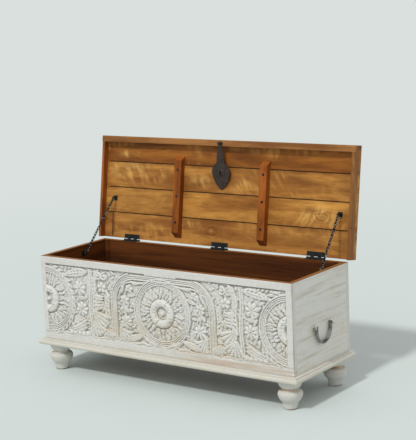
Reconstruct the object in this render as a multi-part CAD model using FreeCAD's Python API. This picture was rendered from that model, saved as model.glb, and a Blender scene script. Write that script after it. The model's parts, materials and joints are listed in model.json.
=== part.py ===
import FreeCAD, Part
import math
import os

# Carved trunk with a cap lid, in millimetres. X runs along the trunk, -Y is its carved front and Z is up.
# The lid's pieces are drawn shut and then swung open about the hinge pins, as the trunk stands with both
# chains tight. The origin is on the floor, under the middle of the open trunk.

# Carcass of four walls on a plinth frame, with a boarded floor inside
BASE_LENGTH = 1125.0
BASE_DEPTH = 379.0
WALL_HEIGHT = 323.0
WALL_THICKNESS = 19.0
FLOOR_THICKNESS = 12.0
FLOOR_BOARDS = 3
FLOOR_SEAM = 0.6
FLOOR_CLEARANCE = 0.5

# Plinth boards with a rounded nose under a small step, and an inner ledge that carries the floor
PLINTH_THICKNESS = 22.0
PLINTH_PROJECTION = 20.0
PLINTH_LEDGE = 40.0
PLINTH_STEP_HEIGHT = 5.0
PLINTH_STEP_ROUND = 2.0
PLINTH_STEP_SETBACK = 7.5

# Turned feet
FOOT_HEIGHT = 102.0
FOOT_INSET_X = 42.5
FOOT_INSET_Y = 38.0
FOOT_BASE_RADIUS = 21.0
FOOT_STEM_RADIUS = 26.0
FOOT_BULB_RADIUS = 44.0
FOOT_NECK_RADIUS = 28.0
FOOT_COLLAR_RADIUS = 42.0
FOOT_STEM_HEIGHT = 26.0
FOOT_BULB_HEIGHT = 50.0
FOOT_SHOULDER_HEIGHT = 66.0
FOOT_NECK_HEIGHT = 70.0
FOOT_NECK_WIDTH = 3.0
FOOT_COLLAR_LIP = 5.0
FOOT_FLARE_FULLNESS = 0.35
FOOT_BULB_SLOPE = 0.25
FOOT_BOWL_SLOPE = 0.3
FOOT_CURVE_POINTS = 3

# Carved front: a recessed field inside plain bands, with its rosettes and its arch
STILE_WIDTH = 30.0
TOP_BAND_MARGIN = 2.0
BOTTOM_BAND = 30.0
FIELD_DEPTH = 5.0
ROSETTE_OFFSET = 11.0
ROSETTE_RADIUS = 124.0
ROSETTE_RIM_WIDTH = 9.0
ROSETTE_RIM_HEIGHT = 4.0
PETAL_HEIGHT = 2.0
PETAL_RISE = 1.5
BOSS_RADIUS = 50.0
BOSS_HOLE_RADIUS = 26.0
BOSS_HEIGHT = 8.0
BOSS_ROUND = 4.0
DOME_RADIUS = 12.0
DOME_HEIGHT = 5.0
DOME_SHOULDER_RADIUS = 6.0
DOME_SHOULDER_HEIGHT = 4.0
CARVING_ROOT = 2.0
ARCH_HALF_WIDTH = 227.0
ARCH_CORNER_RADIUS = 90.0
ARCH_BAND = 13.0
ARCH_HEIGHT = 3.0

# Lid of planks with rails on three sides that drop over the walls
PLANK_COUNT = 4
PLANK_THICKNESS = 19.0
PLANK_SEAM = 1.4
PLANK_PATCH_WIDTH = 52.0
RAIL_DROP = 25.5
RAIL_GAP = 3.5
SIDE_RAIL_THICKNESS = 13.0
FRONT_RAIL_THICKNESS = 23.5
RAIL_ROUND = 4.0
LID_CLEARANCE = 0.3
OPEN_LEAN = 8.8

# Battens across the planks
BATTEN_INSET = 365.5
BATTEN_WIDTH = 32.0
BATTEN_THICKNESS = 24.0
BATTEN_BACK_CLEARANCE = 2.5
BATTEN_FRONT_CLEARANCE = 23.5
BATTEN_BEVEL = 20.0

# Butt hinges
HINGE_INSET = 137.5
HINGE_LENGTH = 76.0
HINGE_KNUCKLES = 5
LEAF_WIDTH = 17.5
LEAF_THICKNESS = 2.2
PIN_OFFSET = 6.3
PIN_RADIUS = 2.0
PIN_HEAD = 1.5
PIN_HEAD_RADIUS = 3.6
PIN_HEAD_TIP_RADIUS = 1.6
BARREL_RADIUS = 4.5
HINGE_FIT = 0.1
KNUCKLE_GAP = 0.3
MORTISE_CLEARANCE = 0.2

# Chains from the side walls to the lid
CHAIN_LINKS = 21
CHAIN_LOWER_LINKS = 10
CHAIN_WIRE = 3.0
CHAIN_GAP = 0.3
LINK_HALF_WIDTH = 3.8
LINK_MOUTH_PLAY = 1.2
CHAIN_BAR_RADIUS = 2.0
CHAIN_PLATE_SIZE = 18.0
CHAIN_PLATE_THICKNESS = 2.5
CHAIN_WALL_STANDOFF = 12.5
CHAIN_WALL_DROP = 32.0
CHAIN_WALL_Y = 224.0
CHAIN_STUD_HEAD_RADIUS = 4.5
CHAIN_STUD_HEAD = 2.0
CHAIN_STUD_PLAY = 1.5
CHAIN_LID_INSET = 25.5
CHAIN_LID_REACH = 158.0
CHAIN_LID_STANDOFF = 14.0
CHAIN_STAPLE_HALF_WIDTH = 5.5

# Hasp and its staple on the front rail
HASP_LENGTH = 179.0
HASP_THICKNESS = 3.0
HASP_EYE_RADIUS = 5.5
HASP_EYE_WIDTH = 10.0
HASP_TOP_HALF_WIDTH = 8.0
HASP_NECK_HALF_WIDTH = 18.0
HASP_NECK_AT = 78.0
HASP_LEAF_HALF_WIDTH = 40.0
HASP_LEAF_AT = 114.0
HASP_SHOULDER_SPREAD = 0.75
HASP_SHOULDER_RUN = 0.35
HASP_CHEEK_SPREAD = 0.7
HASP_CHEEK_RUN = 0.55
HASP_BOSS_RADIUS = 13.0
HASP_BOSS_HEIGHT = 2.5
HASP_SLOT_WIDTH = 7.0
HASP_SLOT_LENGTH = 15.0
HASP_REST_GAP = 0.4
HASP_PLAY = 0.3
STAPLE_RADIUS = 2.2
STAPLE_HALF_WIDTH = 8.5
STAPLE_DROP = 6.0

# Drop handles on the ends
HANDLE_Y = 182.0
HANDLE_HEIGHT = 142.0
HANDLE_HALF_WIDTH = 48.0
HANDLE_DROP = 62.0
BAIL_THICKNESS = 7.0
BAIL_WIDTH = 12.0
BAIL_BEVEL = 2.4
HANDLE_STANDOFF = 9.5
HANDLE_PIN_RADIUS = 3.2
HANDLE_PIN_LENGTH = 17.0
HANDLE_TIP = 13.0
HANDLE_TIP_RADIUS = 1.6
HANDLE_EYE_RADIUS = 6.5
HANDLE_EYE_WIDTH = 6.0
HANDLE_EYE_GAP = 2.5
HANDLE_NECK_HALF_HEIGHT = 4.5
HANDLE_PLATE_RADIUS = 11.0
HANDLE_PLATE_THICKNESS = 2.0
HANDLE_PLAY = 0.3

# Places that follow from the sizes above
OPEN_ANGLE = 90.0 + OPEN_LEAN
LEAN = math.radians(OPEN_LEAN)
LID_DEPTH = BASE_DEPTH + RAIL_GAP + FRONT_RAIL_THICKNESS
LID_HALF = BASE_LENGTH / 2 + RAIL_GAP + SIDE_RAIL_THICKNESS
HALF_LENGTH = BASE_LENGTH / 2
LID_REACH = math.sin(LEAN) * (PIN_OFFSET + LID_DEPTH) + math.cos(LEAN) * (PLANK_THICKNESS + LID_CLEARANCE / 2)
FRONT_Y = -(BASE_DEPTH + PIN_OFFSET + LID_REACH - PLINTH_PROJECTION) / 2
BACK_Y = FRONT_Y + BASE_DEPTH
WALL_Z = FOOT_HEIGHT + PLINTH_THICKNESS
WALL_TOP = WALL_Z + WALL_HEIGHT
PLANK_Z = WALL_TOP + LID_CLEARANCE
RIM_Z = PLANK_Z - RAIL_DROP
LID_FRONT_Y = BACK_Y - LID_DEPTH
PLANK_WIDTH = LID_DEPTH / PLANK_COUNT
PIN_Y = BACK_Y + PIN_OFFSET
PIN_Z = WALL_TOP + LID_CLEARANCE / 2
BATTEN_X = HALF_LENGTH - BATTEN_INSET
BATTEN_BACK_Y = BACK_Y - WALL_THICKNESS - BATTEN_BACK_CLEARANCE
BATTEN_FRONT_Y = FRONT_Y + WALL_THICKNESS + BATTEN_FRONT_CLEARANCE
HINGE_XS = (HINGE_INSET - HALF_LENGTH, 0.0, HALF_LENGTH - HINGE_INSET)
TOP_BAND = RAIL_DROP + TOP_BAND_MARGIN
HASP_PIVOT_Y = LID_FRONT_Y + FRONT_RAIL_THICKNESS / 2
HASP_PIVOT_Z = RIM_Z - STAPLE_DROP
HANDLE_PIVOT_Y = FRONT_Y + HANDLE_Y
HANDLE_PIVOT_Z = WALL_Z + HANDLE_HEIGHT

SAME_PLACE = 1e-6
X_AXIS = FreeCAD.Vector(1, 0, 0)
Y_AXIS = FreeCAD.Vector(0, 1, 0)
Z_AXIS = FreeCAD.Vector(0, 0, 1)
PIN_POINT = FreeCAD.Vector(0, PIN_Y, PIN_Z)


def vector(x, y, z):
    return FreeCAD.Vector(x, y, z)


def box(x0, x1, y0, y1, z0, z1):
    return Part.makeBox(x1 - x0, y1 - y0, z1 - z0, vector(x0, y0, z0))


def rod(radius, start, end):
    along = end - start
    return Part.makeCylinder(radius, along.Length, start, along)


def face(points):
    return Part.Face(Part.makePolygon(points + points[:1]))


def swing_open(shape):
    return shape.rotated(PIN_POINT, X_AXIS, -OPEN_ANGLE)


def save(name, solids):
    shape = solids[0] if len(solids) == 1 else Part.makeCompound(solids)
    shape.exportStep(os.path.join("parts", name + ".step"))


# Front panel: one thick board, its field cut back so that the carving stands level with the plain bands
def rosette(x):
    field = FRONT_Y + FIELD_DEPTH
    middle_z = (WALL_Z + BOTTOM_BAND + WALL_TOP - TOP_BAND) / 2
    rim_inner = ROSETTE_RADIUS - ROSETTE_RIM_WIDTH
    recess = PETAL_HEIGHT
    heights = [
        (ROSETTE_RADIUS, -CARVING_ROOT),
        (ROSETTE_RADIUS, ROSETTE_RIM_HEIGHT),
        (rim_inner, ROSETTE_RIM_HEIGHT),
        (rim_inner, PETAL_HEIGHT),
        (BOSS_RADIUS, PETAL_HEIGHT + PETAL_RISE),
        (BOSS_RADIUS, BOSS_HEIGHT - BOSS_ROUND),
        (BOSS_RADIUS - BOSS_ROUND, BOSS_HEIGHT),
        (BOSS_HOLE_RADIUS + BOSS_ROUND, BOSS_HEIGHT),
        (BOSS_HOLE_RADIUS, recess),
        (DOME_RADIUS, recess),
        (DOME_SHOULDER_RADIUS, recess + DOME_SHOULDER_HEIGHT),
        (0, recess + DOME_HEIGHT),
        (0, -CARVING_ROOT),
    ]
    outline = face([vector(x + radius, field - height, middle_z) for radius, height in heights])
    return outline.revolve(vector(x, 0, middle_z), Y_AXIS, 360)


def arch():
    field = FRONT_Y + FIELD_DEPTH
    bottom = WALL_Z + BOTTOM_BAND
    top = WALL_TOP - TOP_BAND

    def opening(inset):
        left = ROSETTE_OFFSET - ARCH_HALF_WIDTH + inset
        right = ROSETTE_OFFSET + ARCH_HALF_WIDTH - inset
        radius = ARCH_CORNER_RADIUS - inset
        crown = top - inset
        lean = radius * (1 - math.sqrt(0.5))
        spring = crown - radius

        def at(x, z):
            return vector(x, field + CARVING_ROOT, z)

        corner_left = Part.Arc(at(left, spring), at(left + lean, crown - lean), at(left + radius, crown))
        corner_right = Part.Arc(at(right - radius, crown), at(right - lean, crown - lean), at(right, spring))
        edges = [
            Part.makeLine(at(left, bottom), at(left, spring)),
            corner_left.toShape(),
            Part.makeLine(at(left + radius, crown), at(right - radius, crown)),
            corner_right.toShape(),
            Part.makeLine(at(right, spring), at(right, bottom)),
            Part.makeLine(at(right, bottom), at(left, bottom)),
        ]
        return Part.Face(Part.Wire(edges))

    raised = vector(0, -(ARCH_HEIGHT + CARVING_ROOT), 0)
    return opening(0).extrude(raised).cut(opening(ARCH_BAND).extrude(raised))


def front_panel():
    field_half = HALF_LENGTH - STILE_WIDTH
    field_bottom = WALL_Z + BOTTOM_BAND
    field_top = WALL_TOP - TOP_BAND
    board = box(-HALF_LENGTH, HALF_LENGTH, FRONT_Y, FRONT_Y + WALL_THICKNESS, WALL_Z, WALL_TOP)
    field = box(-field_half, field_half, FRONT_Y, FRONT_Y + FIELD_DEPTH, field_bottom, field_top)
    proud = FRONT_Y + FIELD_DEPTH - BOSS_HEIGHT
    carved_space = box(-field_half, field_half, proud, FRONT_Y + WALL_THICKNESS, field_bottom, field_top)
    whole = rosette(ROSETTE_OFFSET)
    halves = [rosette(side * field_half).common(carved_space) for side in (-1, 1)]
    return board.cut(field).fuse([arch(), whole] + halves).removeSplitter()


# Back panel, with a mortise in its top edge for each hinge leaf
def leaf_mortise(x, z0, z1):
    half = HINGE_LENGTH / 2 + MORTISE_CLEARANCE
    return box(x - half, x + half, BACK_Y - LEAF_WIDTH - MORTISE_CLEARANCE, BACK_Y, z0, z1)


def back_panel():
    board = box(-HALF_LENGTH, HALF_LENGTH, BACK_Y - WALL_THICKNESS, BACK_Y, WALL_Z, WALL_TOP)
    return board.cut([leaf_mortise(x, WALL_TOP - LEAF_THICKNESS, WALL_TOP) for x in HINGE_XS])


# Side panels, housed between the front and the back
def side_panel(side):
    x0, x1 = sorted((side * (HALF_LENGTH - WALL_THICKNESS), side * HALF_LENGTH))
    y0 = FRONT_Y + WALL_THICKNESS
    y1 = BACK_Y - WALL_THICKNESS
    return box(x0, x1, y0, y1, WALL_Z, WALL_TOP)


# Floor boards, lying on the plinth's ledge
def floor_board(index):
    inside_half = HALF_LENGTH - WALL_THICKNESS - FLOOR_CLEARANCE
    first_y = FRONT_Y + WALL_THICKNESS + FLOOR_CLEARANCE
    room = BASE_DEPTH - 2 * (WALL_THICKNESS + FLOOR_CLEARANCE)
    width = (room - (FLOOR_BOARDS - 1) * FLOOR_SEAM) / FLOOR_BOARDS
    y0 = first_y + index * (width + FLOOR_SEAM)
    return box(-inside_half, inside_half, y0, y0 + width, WALL_Z, WALL_Z + FLOOR_THICKNESS)


# Plinth: moulded boards mitred at the front corners, and a plain board across the back
def plinth_profile(point):
    nose_height = PLINTH_THICKNESS - PLINTH_STEP_HEIGHT
    nose_radius = nose_height / 2
    nose_start = PLINTH_PROJECTION - nose_radius
    step = PLINTH_PROJECTION - PLINTH_STEP_SETBACK
    inner = -(WALL_THICKNESS + PLINTH_LEDGE)
    top = PLINTH_THICKNESS
    bend = PLINTH_STEP_ROUND * (1 - math.sqrt(0.5))
    nose_low = point(nose_start, 0)
    nose_high = point(nose_start, nose_height)
    step_high = point(step, top - PLINTH_STEP_ROUND)
    top_edge = point(step - PLINTH_STEP_ROUND, top)
    edges = [
        Part.makeLine(point(inner, 0), nose_low),
        Part.Arc(nose_low, point(PLINTH_PROJECTION, nose_radius), nose_high).toShape(),
        Part.makeLine(nose_high, point(step, nose_height)),
        Part.makeLine(point(step, nose_height), step_high),
        Part.Arc(step_high, point(step - bend, top - bend), top_edge).toShape(),
        Part.makeLine(top_edge, point(inner, top)),
        Part.makeLine(point(inner, top), point(inner, 0)),
    ]
    return Part.Face(Part.Wire(edges))


def plinth_front():
    out = HALF_LENGTH + PLINTH_PROJECTION
    inner = WALL_THICKNESS + PLINTH_LEDGE
    profile = plinth_profile(lambda u, z: vector(-out, FRONT_Y - u, FOOT_HEIGHT + z))
    plan = [
        vector(-out, FRONT_Y - PLINTH_PROJECTION, FOOT_HEIGHT),
        vector(out, FRONT_Y - PLINTH_PROJECTION, FOOT_HEIGHT),
        vector(HALF_LENGTH - inner, FRONT_Y + inner, FOOT_HEIGHT),
        vector(inner - HALF_LENGTH, FRONT_Y + inner, FOOT_HEIGHT),
    ]
    return profile.extrude(X_AXIS * (2 * out)).common(face(plan).extrude(Z_AXIS * PLINTH_THICKNESS))


def plinth_side(side):
    front = FRONT_Y - PLINTH_PROJECTION
    inner = WALL_THICKNESS + PLINTH_LEDGE
    profile = plinth_profile(lambda u, z: vector(side * (HALF_LENGTH + u), front, FOOT_HEIGHT + z))
    plan = [
        vector(side * (HALF_LENGTH + PLINTH_PROJECTION), front, FOOT_HEIGHT),
        vector(side * (HALF_LENGTH + PLINTH_PROJECTION), BACK_Y, FOOT_HEIGHT),
        vector(side * (HALF_LENGTH - inner), BACK_Y, FOOT_HEIGHT),
        vector(side * (HALF_LENGTH - inner), FRONT_Y + inner, FOOT_HEIGHT),
    ]
    return profile.extrude(Y_AXIS * (BACK_Y - front)).common(face(plan).extrude(Z_AXIS * PLINTH_THICKNESS))


def plinth_back():
    inner = WALL_THICKNESS + PLINTH_LEDGE
    half = HALF_LENGTH - inner
    return box(-half, half, BACK_Y - inner, BACK_Y, FOOT_HEIGHT, FOOT_HEIGHT + PLINTH_THICKNESS)


# Turned foot: a tapered stem, a turnip bulb, a narrow neck and a bowl-shaped collar under the plinth
def foot(x, y):
    def at(radius, height):
        return vector(x + radius, y, height)

    neck_top = FOOT_NECK_HEIGHT + FOOT_NECK_WIDTH
    collar_bottom = FOOT_HEIGHT - FOOT_COLLAR_LIP
    shoulder_radius = (FOOT_NECK_RADIUS + FOOT_BULB_RADIUS) / 2
    flare_radius = FOOT_STEM_RADIUS + (FOOT_BULB_RADIUS - FOOT_STEM_RADIUS) * FOOT_FLARE_FULLNESS
    flare_height = (FOOT_STEM_HEIGHT + FOOT_BULB_HEIGHT) / 2
    bulb_top_radius = FOOT_BULB_RADIUS - (FOOT_BULB_RADIUS - shoulder_radius) * FOOT_BULB_SLOPE
    bulb_top_height = (FOOT_BULB_HEIGHT + FOOT_SHOULDER_HEIGHT) / 2
    bowl_radius = FOOT_COLLAR_RADIUS - (FOOT_COLLAR_RADIUS - FOOT_NECK_RADIUS) * FOOT_BOWL_SLOPE
    bowl_height = (neck_top + collar_bottom) / 2
    stem = at(FOOT_STEM_RADIUS, FOOT_STEM_HEIGHT)
    bulb = at(FOOT_BULB_RADIUS, FOOT_BULB_HEIGHT)
    shoulder = at(shoulder_radius, FOOT_SHOULDER_HEIGHT)
    neck_high = at(FOOT_NECK_RADIUS, neck_top)
    collar = at(FOOT_COLLAR_RADIUS, collar_bottom)
    flare_curve = Part.Arc(stem, at(flare_radius, flare_height), bulb)
    bulb_curve = Part.Arc(bulb, at(bulb_top_radius, bulb_top_height), shoulder)
    bowl_curve = Part.Arc(neck_high, at(bowl_radius, bowl_height), collar)
    outline = [at(0, 0), at(FOOT_BASE_RADIUS, 0)]
    outline += flare_curve.discretize(FOOT_CURVE_POINTS)
    outline += bulb_curve.discretize(FOOT_CURVE_POINTS)[1:]
    outline += [at(FOOT_NECK_RADIUS, FOOT_NECK_HEIGHT)]
    outline += bowl_curve.discretize(FOOT_CURVE_POINTS)
    outline += [at(FOOT_COLLAR_RADIUS, FOOT_HEIGHT), at(0, FOOT_HEIGHT)]
    return face(outline).revolve(vector(x, y, 0), Z_AXIS, 360)


# Lid planks, side by side over the rails, with a small groove at each seam; the rear one is pieced at its end
def lid_plank(index, x0, x1):
    back = BACK_Y - index * PLANK_WIDTH
    front = back - PLANK_WIDTH
    top = PLANK_Z + PLANK_THICKNESS
    back_seam = 0 if index == 0 else PLANK_SEAM
    front_seam = 0 if index == PLANK_COUNT - 1 else PLANK_SEAM
    outline = [(back, PLANK_Z + back_seam), (back, top - back_seam)]
    outline += [(back - back_seam, top)] if back_seam else []
    outline += [(front + front_seam, top)] if front_seam else []
    outline += [(front, top - front_seam), (front, PLANK_Z + front_seam)]
    outline += [(front + front_seam, PLANK_Z)] if front_seam else []
    outline += [(back - back_seam, PLANK_Z)] if back_seam else []
    plank = face([vector(x0, y, z) for y, z in outline]).extrude(X_AXIS * (x1 - x0))
    if index > 0:
        return plank
    return plank.cut([leaf_mortise(x, PLANK_Z, PLANK_Z + LEAF_THICKNESS) for x in HINGE_XS])


# Rails under the planks, rounded along their outer lower edge
def rail_front():
    rail = box(-LID_HALF, LID_HALF, LID_FRONT_Y, LID_FRONT_Y + FRONT_RAIL_THICKNESS, RIM_Z, PLANK_Z)
    outer_edge = [edge for edge in rail.Edges if is_along(edge, LID_FRONT_Y, 1)]
    return rail.makeFillet(RAIL_ROUND, outer_edge)


def is_along(edge, place, axis):
    ends = [vertex.Point for vertex in edge.Vertexes]
    return all(abs(end[axis] - place) < SAME_PLACE and abs(end.z - RIM_Z) < SAME_PLACE for end in ends)


def rail_side(side):
    outer = side * LID_HALF
    x0, x1 = sorted((outer, outer - side * SIDE_RAIL_THICKNESS))
    y0 = LID_FRONT_Y + FRONT_RAIL_THICKNESS
    rail = box(x0, x1, y0, BACK_Y, RIM_Z, PLANK_Z)
    outer_edge = [edge for edge in rail.Edges if is_along(edge, outer, 0)]
    return rail.makeFillet(RAIL_ROUND, outer_edge)


# Battens with bevelled ends
def batten(side):
    x0 = side * BATTEN_X - BATTEN_WIDTH / 2
    low = PLANK_Z - BATTEN_THICKNESS
    outline = [
        vector(x0, BATTEN_BACK_Y, PLANK_Z),
        vector(x0, BATTEN_FRONT_Y, PLANK_Z),
        vector(x0, BATTEN_FRONT_Y + BATTEN_BEVEL, low),
        vector(x0, BATTEN_BACK_Y - BATTEN_BEVEL, low),
    ]
    return face(outline).extrude(X_AXIS * BATTEN_WIDTH)


# Butt hinges: the wall leaf and the lid leaf share five knuckles on one pin
def hinge_leaf(x, on_lid):
    knuckle = HINGE_LENGTH / HINGE_KNUCKLES
    z0 = PLANK_Z if on_lid else WALL_TOP - LEAF_THICKNESS
    x0 = x - HINGE_LENGTH / 2
    leaf = box(x0, x0 + HINGE_LENGTH, BACK_Y - LEAF_WIDTH, BACK_Y, z0, z0 + LEAF_THICKNESS)
    pieces = []
    for index in range(1 if on_lid else 0, HINGE_KNUCKLES, 2):
        start = x0 + index * knuckle + KNUCKLE_GAP / 2
        end = x0 + (index + 1) * knuckle - KNUCKLE_GAP / 2
        pieces.append(box(start, end, BACK_Y, PIN_Y, z0, z0 + LEAF_THICKNESS))
        pieces.append(rod(BARREL_RADIUS, vector(start, PIN_Y, PIN_Z), vector(end, PIN_Y, PIN_Z)))
    bore = rod(PIN_RADIUS + HINGE_FIT, vector(x0, PIN_Y, PIN_Z), vector(x0 + HINGE_LENGTH, PIN_Y, PIN_Z))
    return leaf.fuse(pieces).cut(bore).removeSplitter()


def hinge_pin(x):
    half = HINGE_LENGTH / 2 + KNUCKLE_GAP
    shaft = rod(PIN_RADIUS, vector(x - half, PIN_Y, PIN_Z), vector(x + half, PIN_Y, PIN_Z))
    heads = []
    for end in (-1, 1):
        start = vector(x + end * half, PIN_Y, PIN_Z)
        heads.append(Part.makeCone(PIN_HEAD_RADIUS, PIN_HEAD_TIP_RADIUS, PIN_HEAD, start, X_AXIS * end))
    return shaft.fuse(heads).removeSplitter()


# Chain: octagonal links, each square to the next, with a small gap where they bear on each other
def chain_ends(side):
    wall_face = HALF_LENGTH - WALL_THICKNESS
    lower_x = side * (wall_face - CHAIN_WALL_STANDOFF)
    upper_x = side * (wall_face - CHAIN_LID_INSET)
    lower = vector(lower_x, FRONT_Y + CHAIN_WALL_Y, WALL_TOP - CHAIN_WALL_DROP)
    shut = vector(upper_x, BACK_Y - CHAIN_LID_REACH, PLANK_Z - CHAIN_LID_STANDOFF)
    upper = swing_open(Part.Vertex(shut)).Point
    return lower, upper


def link_loop(half_length, half_width):
    flat = half_width * math.tan(math.pi / 8)
    shoulder = half_length - half_width + flat
    quarter = [(flat, half_length), (half_width, shoulder)]
    right = quarter + [(y, -z) for y, z in reversed(quarter)]
    return [vector(0, y, z) for y, z in right + [(-y, -z) for y, z in right]]


def chain_link(pitch):
    half_length = (pitch + CHAIN_WIRE + CHAIN_GAP) / 2
    half_wire = CHAIN_WIRE / 2
    outer = face(link_loop(half_length + half_wire, LINK_HALF_WIDTH + half_wire))
    inner = face(link_loop(half_length - half_wire, LINK_HALF_WIDTH - half_wire))
    ring = outer.cut(inner).extrude(X_AXIS * CHAIN_WIRE)
    ring.translate(X_AXIS * -half_wire)
    rims = [edge for edge in ring.Edges if abs(edge.Vertexes[0].X - edge.Vertexes[1].X) < half_wire]
    return ring.makeChamfer(CHAIN_WIRE / (2 + math.sqrt(2)), rims)


# The first link of the upper run is a hook, open at its back, which the link below leaves as the lid shuts
def hook_link(pitch):
    inner_end = (pitch + CHAIN_GAP) / 2
    reach = LINK_HALF_WIDTH + CHAIN_WIRE
    mouth = 2 * CHAIN_WIRE + LINK_MOUTH_PLAY
    return chain_link(pitch).cut(box(-CHAIN_WIRE, CHAIN_WIRE, 0, reach, -inner_end, mouth - inner_end))


def chain_links(side):
    lower, upper = chain_ends(side)
    along = upper - lower
    pitch = (along.Length + CHAIN_GAP + 2 * CHAIN_BAR_RADIUS) / CHAIN_LINKS
    first = pitch / 2 - CHAIN_GAP / 2 - CHAIN_BAR_RADIUS
    along.normalize()
    lean = FreeCAD.Rotation(Z_AXIS, along)
    link = chain_link(pitch)
    links = []
    for index in range(CHAIN_LINKS):
        turned = FreeCAD.Rotation(Z_AXIS, 90 * (index % 2))
        copy = hook_link(pitch) if index == CHAIN_LOWER_LINKS else link.copy()
        copy.Placement = FreeCAD.Placement(lower + along * (first + index * pitch), lean.multiply(turned))
        links.append(copy)
    return links


# Chain plate on the wall, with a headed stud that carries the lowest link
def chain_plate_wall(side):
    lower, upper = chain_ends(side)
    half = CHAIN_PLATE_SIZE / 2
    wall = side * (HALF_LENGTH - WALL_THICKNESS)
    x0, x1 = sorted((wall, wall - side * CHAIN_PLATE_THICKNESS))
    plate = box(x0, x1, lower.y - half, lower.y + half, lower.z - half, lower.z + half)
    head_start = lower - X_AXIS * (side * (CHAIN_WIRE / 2 + CHAIN_STUD_PLAY))
    stud = rod(CHAIN_BAR_RADIUS, vector(wall, lower.y, lower.z), head_start)
    head = rod(CHAIN_STUD_HEAD_RADIUS, head_start, head_start - X_AXIS * (side * CHAIN_STUD_HEAD))
    return plate.fuse([stud, head]).removeSplitter()


# Chain plate under the planks, with a staple that carries the highest link
def chain_plate_lid(side):
    x = side * (HALF_LENGTH - WALL_THICKNESS - CHAIN_LID_INSET)
    y = BACK_Y - CHAIN_LID_REACH
    z = PLANK_Z - CHAIN_LID_STANDOFF
    half = CHAIN_PLATE_SIZE / 2
    plate = box(x - half, x + half, y - half, y + half, PLANK_Z - CHAIN_PLATE_THICKNESS, PLANK_Z)
    reach = CHAIN_STAPLE_HALF_WIDTH + CHAIN_BAR_RADIUS
    staple = [rod(CHAIN_BAR_RADIUS, vector(x - reach, y, z), vector(x + reach, y, z))]
    for end in (-1, 1):
        foot_point = vector(x + end * CHAIN_STAPLE_HALF_WIDTH, y, z)
        staple.append(rod(CHAIN_BAR_RADIUS, foot_point, foot_point + Z_AXIS * CHAIN_LID_STANDOFF))
    return plate.fuse(staple).removeSplitter()


# Hasp: an eye on the staple, a strap and a leaf-shaped plate with a slotted boss
def hasp_staple():
    bar_reach = STAPLE_HALF_WIDTH + STAPLE_RADIUS
    middle = vector(0, HASP_PIVOT_Y, HASP_PIVOT_Z)
    bar = rod(STAPLE_RADIUS, middle - X_AXIS * bar_reach, middle + X_AXIS * bar_reach)
    legs = []
    for end in (-1, 1):
        start = middle + X_AXIS * (end * STAPLE_HALF_WIDTH)
        legs.append(rod(STAPLE_RADIUS, start, start + Z_AXIS * STAPLE_DROP))
    return bar.fuse(legs).removeSplitter()


def hasp():
    half = HASP_THICKNESS / 2
    low = HASP_PIVOT_Z - half

    def at(x, along):
        return vector(x, HASP_PIVOT_Y + along, low)

    def half_outline(side):
        swell = HASP_LEAF_HALF_WIDTH - HASP_NECK_HALF_WIDTH
        shoulder_x = HASP_NECK_HALF_WIDTH + swell * HASP_SHOULDER_SPREAD
        shoulder_at = HASP_NECK_AT + (HASP_LEAF_AT - HASP_NECK_AT) * HASP_SHOULDER_RUN
        cheek_at = HASP_LEAF_AT + (HASP_LENGTH - HASP_LEAF_AT) * HASP_CHEEK_RUN
        shoulder = at(side * shoulder_x, shoulder_at)
        cheek = at(side * HASP_LEAF_HALF_WIDTH * HASP_CHEEK_SPREAD, cheek_at)
        neck = at(side * HASP_NECK_HALF_WIDTH, HASP_NECK_AT)
        widest = at(side * HASP_LEAF_HALF_WIDTH, HASP_LEAF_AT)
        return [
            Part.makeLine(at(0, 0), at(side * HASP_TOP_HALF_WIDTH, HASP_EYE_RADIUS)),
            Part.makeLine(at(side * HASP_TOP_HALF_WIDTH, HASP_EYE_RADIUS), neck),
            Part.Arc(neck, shoulder, widest).toShape(),
            Part.Arc(widest, cheek, at(0, HASP_LENGTH)).toShape(),
        ]

    outline = Part.Wire(half_outline(1) + half_outline(-1)[::-1])
    plate = Part.Face(outline).extrude(Z_AXIS * HASP_THICKNESS)
    pivot = vector(0, HASP_PIVOT_Y, HASP_PIVOT_Z)
    half_eye = X_AXIS * (HASP_EYE_WIDTH / 2)
    eye = rod(HASP_EYE_RADIUS, pivot - half_eye, pivot + half_eye)
    notch_length = HASP_EYE_RADIUS + STAPLE_RADIUS
    notches = []
    for side in (-1, 1):
        x0, x1 = sorted((side * HASP_EYE_WIDTH / 2, side * HASP_NECK_HALF_WIDTH))
        y0 = HASP_PIVOT_Y - notch_length
        y1 = HASP_PIVOT_Y + notch_length
        notches.append(box(x0, x1, y0, y1, low - HASP_EYE_RADIUS, low + 2 * HASP_EYE_RADIUS))
    boss_foot = at(0, HASP_LEAF_AT)
    boss = Part.makeCone(
        HASP_BOSS_RADIUS, HASP_BOSS_RADIUS - HASP_BOSS_HEIGHT, HASP_BOSS_HEIGHT, boss_foot, Z_AXIS * -1
    )
    slot_y = HASP_PIVOT_Y + HASP_LEAF_AT
    slot = box(
        -HASP_SLOT_WIDTH / 2, HASP_SLOT_WIDTH / 2,
        slot_y - HASP_SLOT_LENGTH / 2, slot_y + HASP_SLOT_LENGTH / 2,
        low - HASP_BOSS_HEIGHT, low + HASP_THICKNESS,
    )
    bore = rod(STAPLE_RADIUS + HASP_PLAY, pivot - half_eye * 2, pivot + half_eye * 2)
    flat = plate.cut(notches).fuse([eye, boss]).cut([slot, bore]).removeSplitter()
    rise = RAIL_DROP + STAPLE_DROP - half - HASP_REST_GAP
    return flat.rotated(pivot, X_AXIS, math.degrees(math.asin(rise / HASP_LENGTH)))


# Drop handle: a flat bail with outward pins, hung in two eyes on the end of the trunk
def handle_pivot(side):
    return vector(side * (HALF_LENGTH + HANDLE_STANDOFF), HANDLE_PIVOT_Y, HANDLE_PIVOT_Z)


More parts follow.
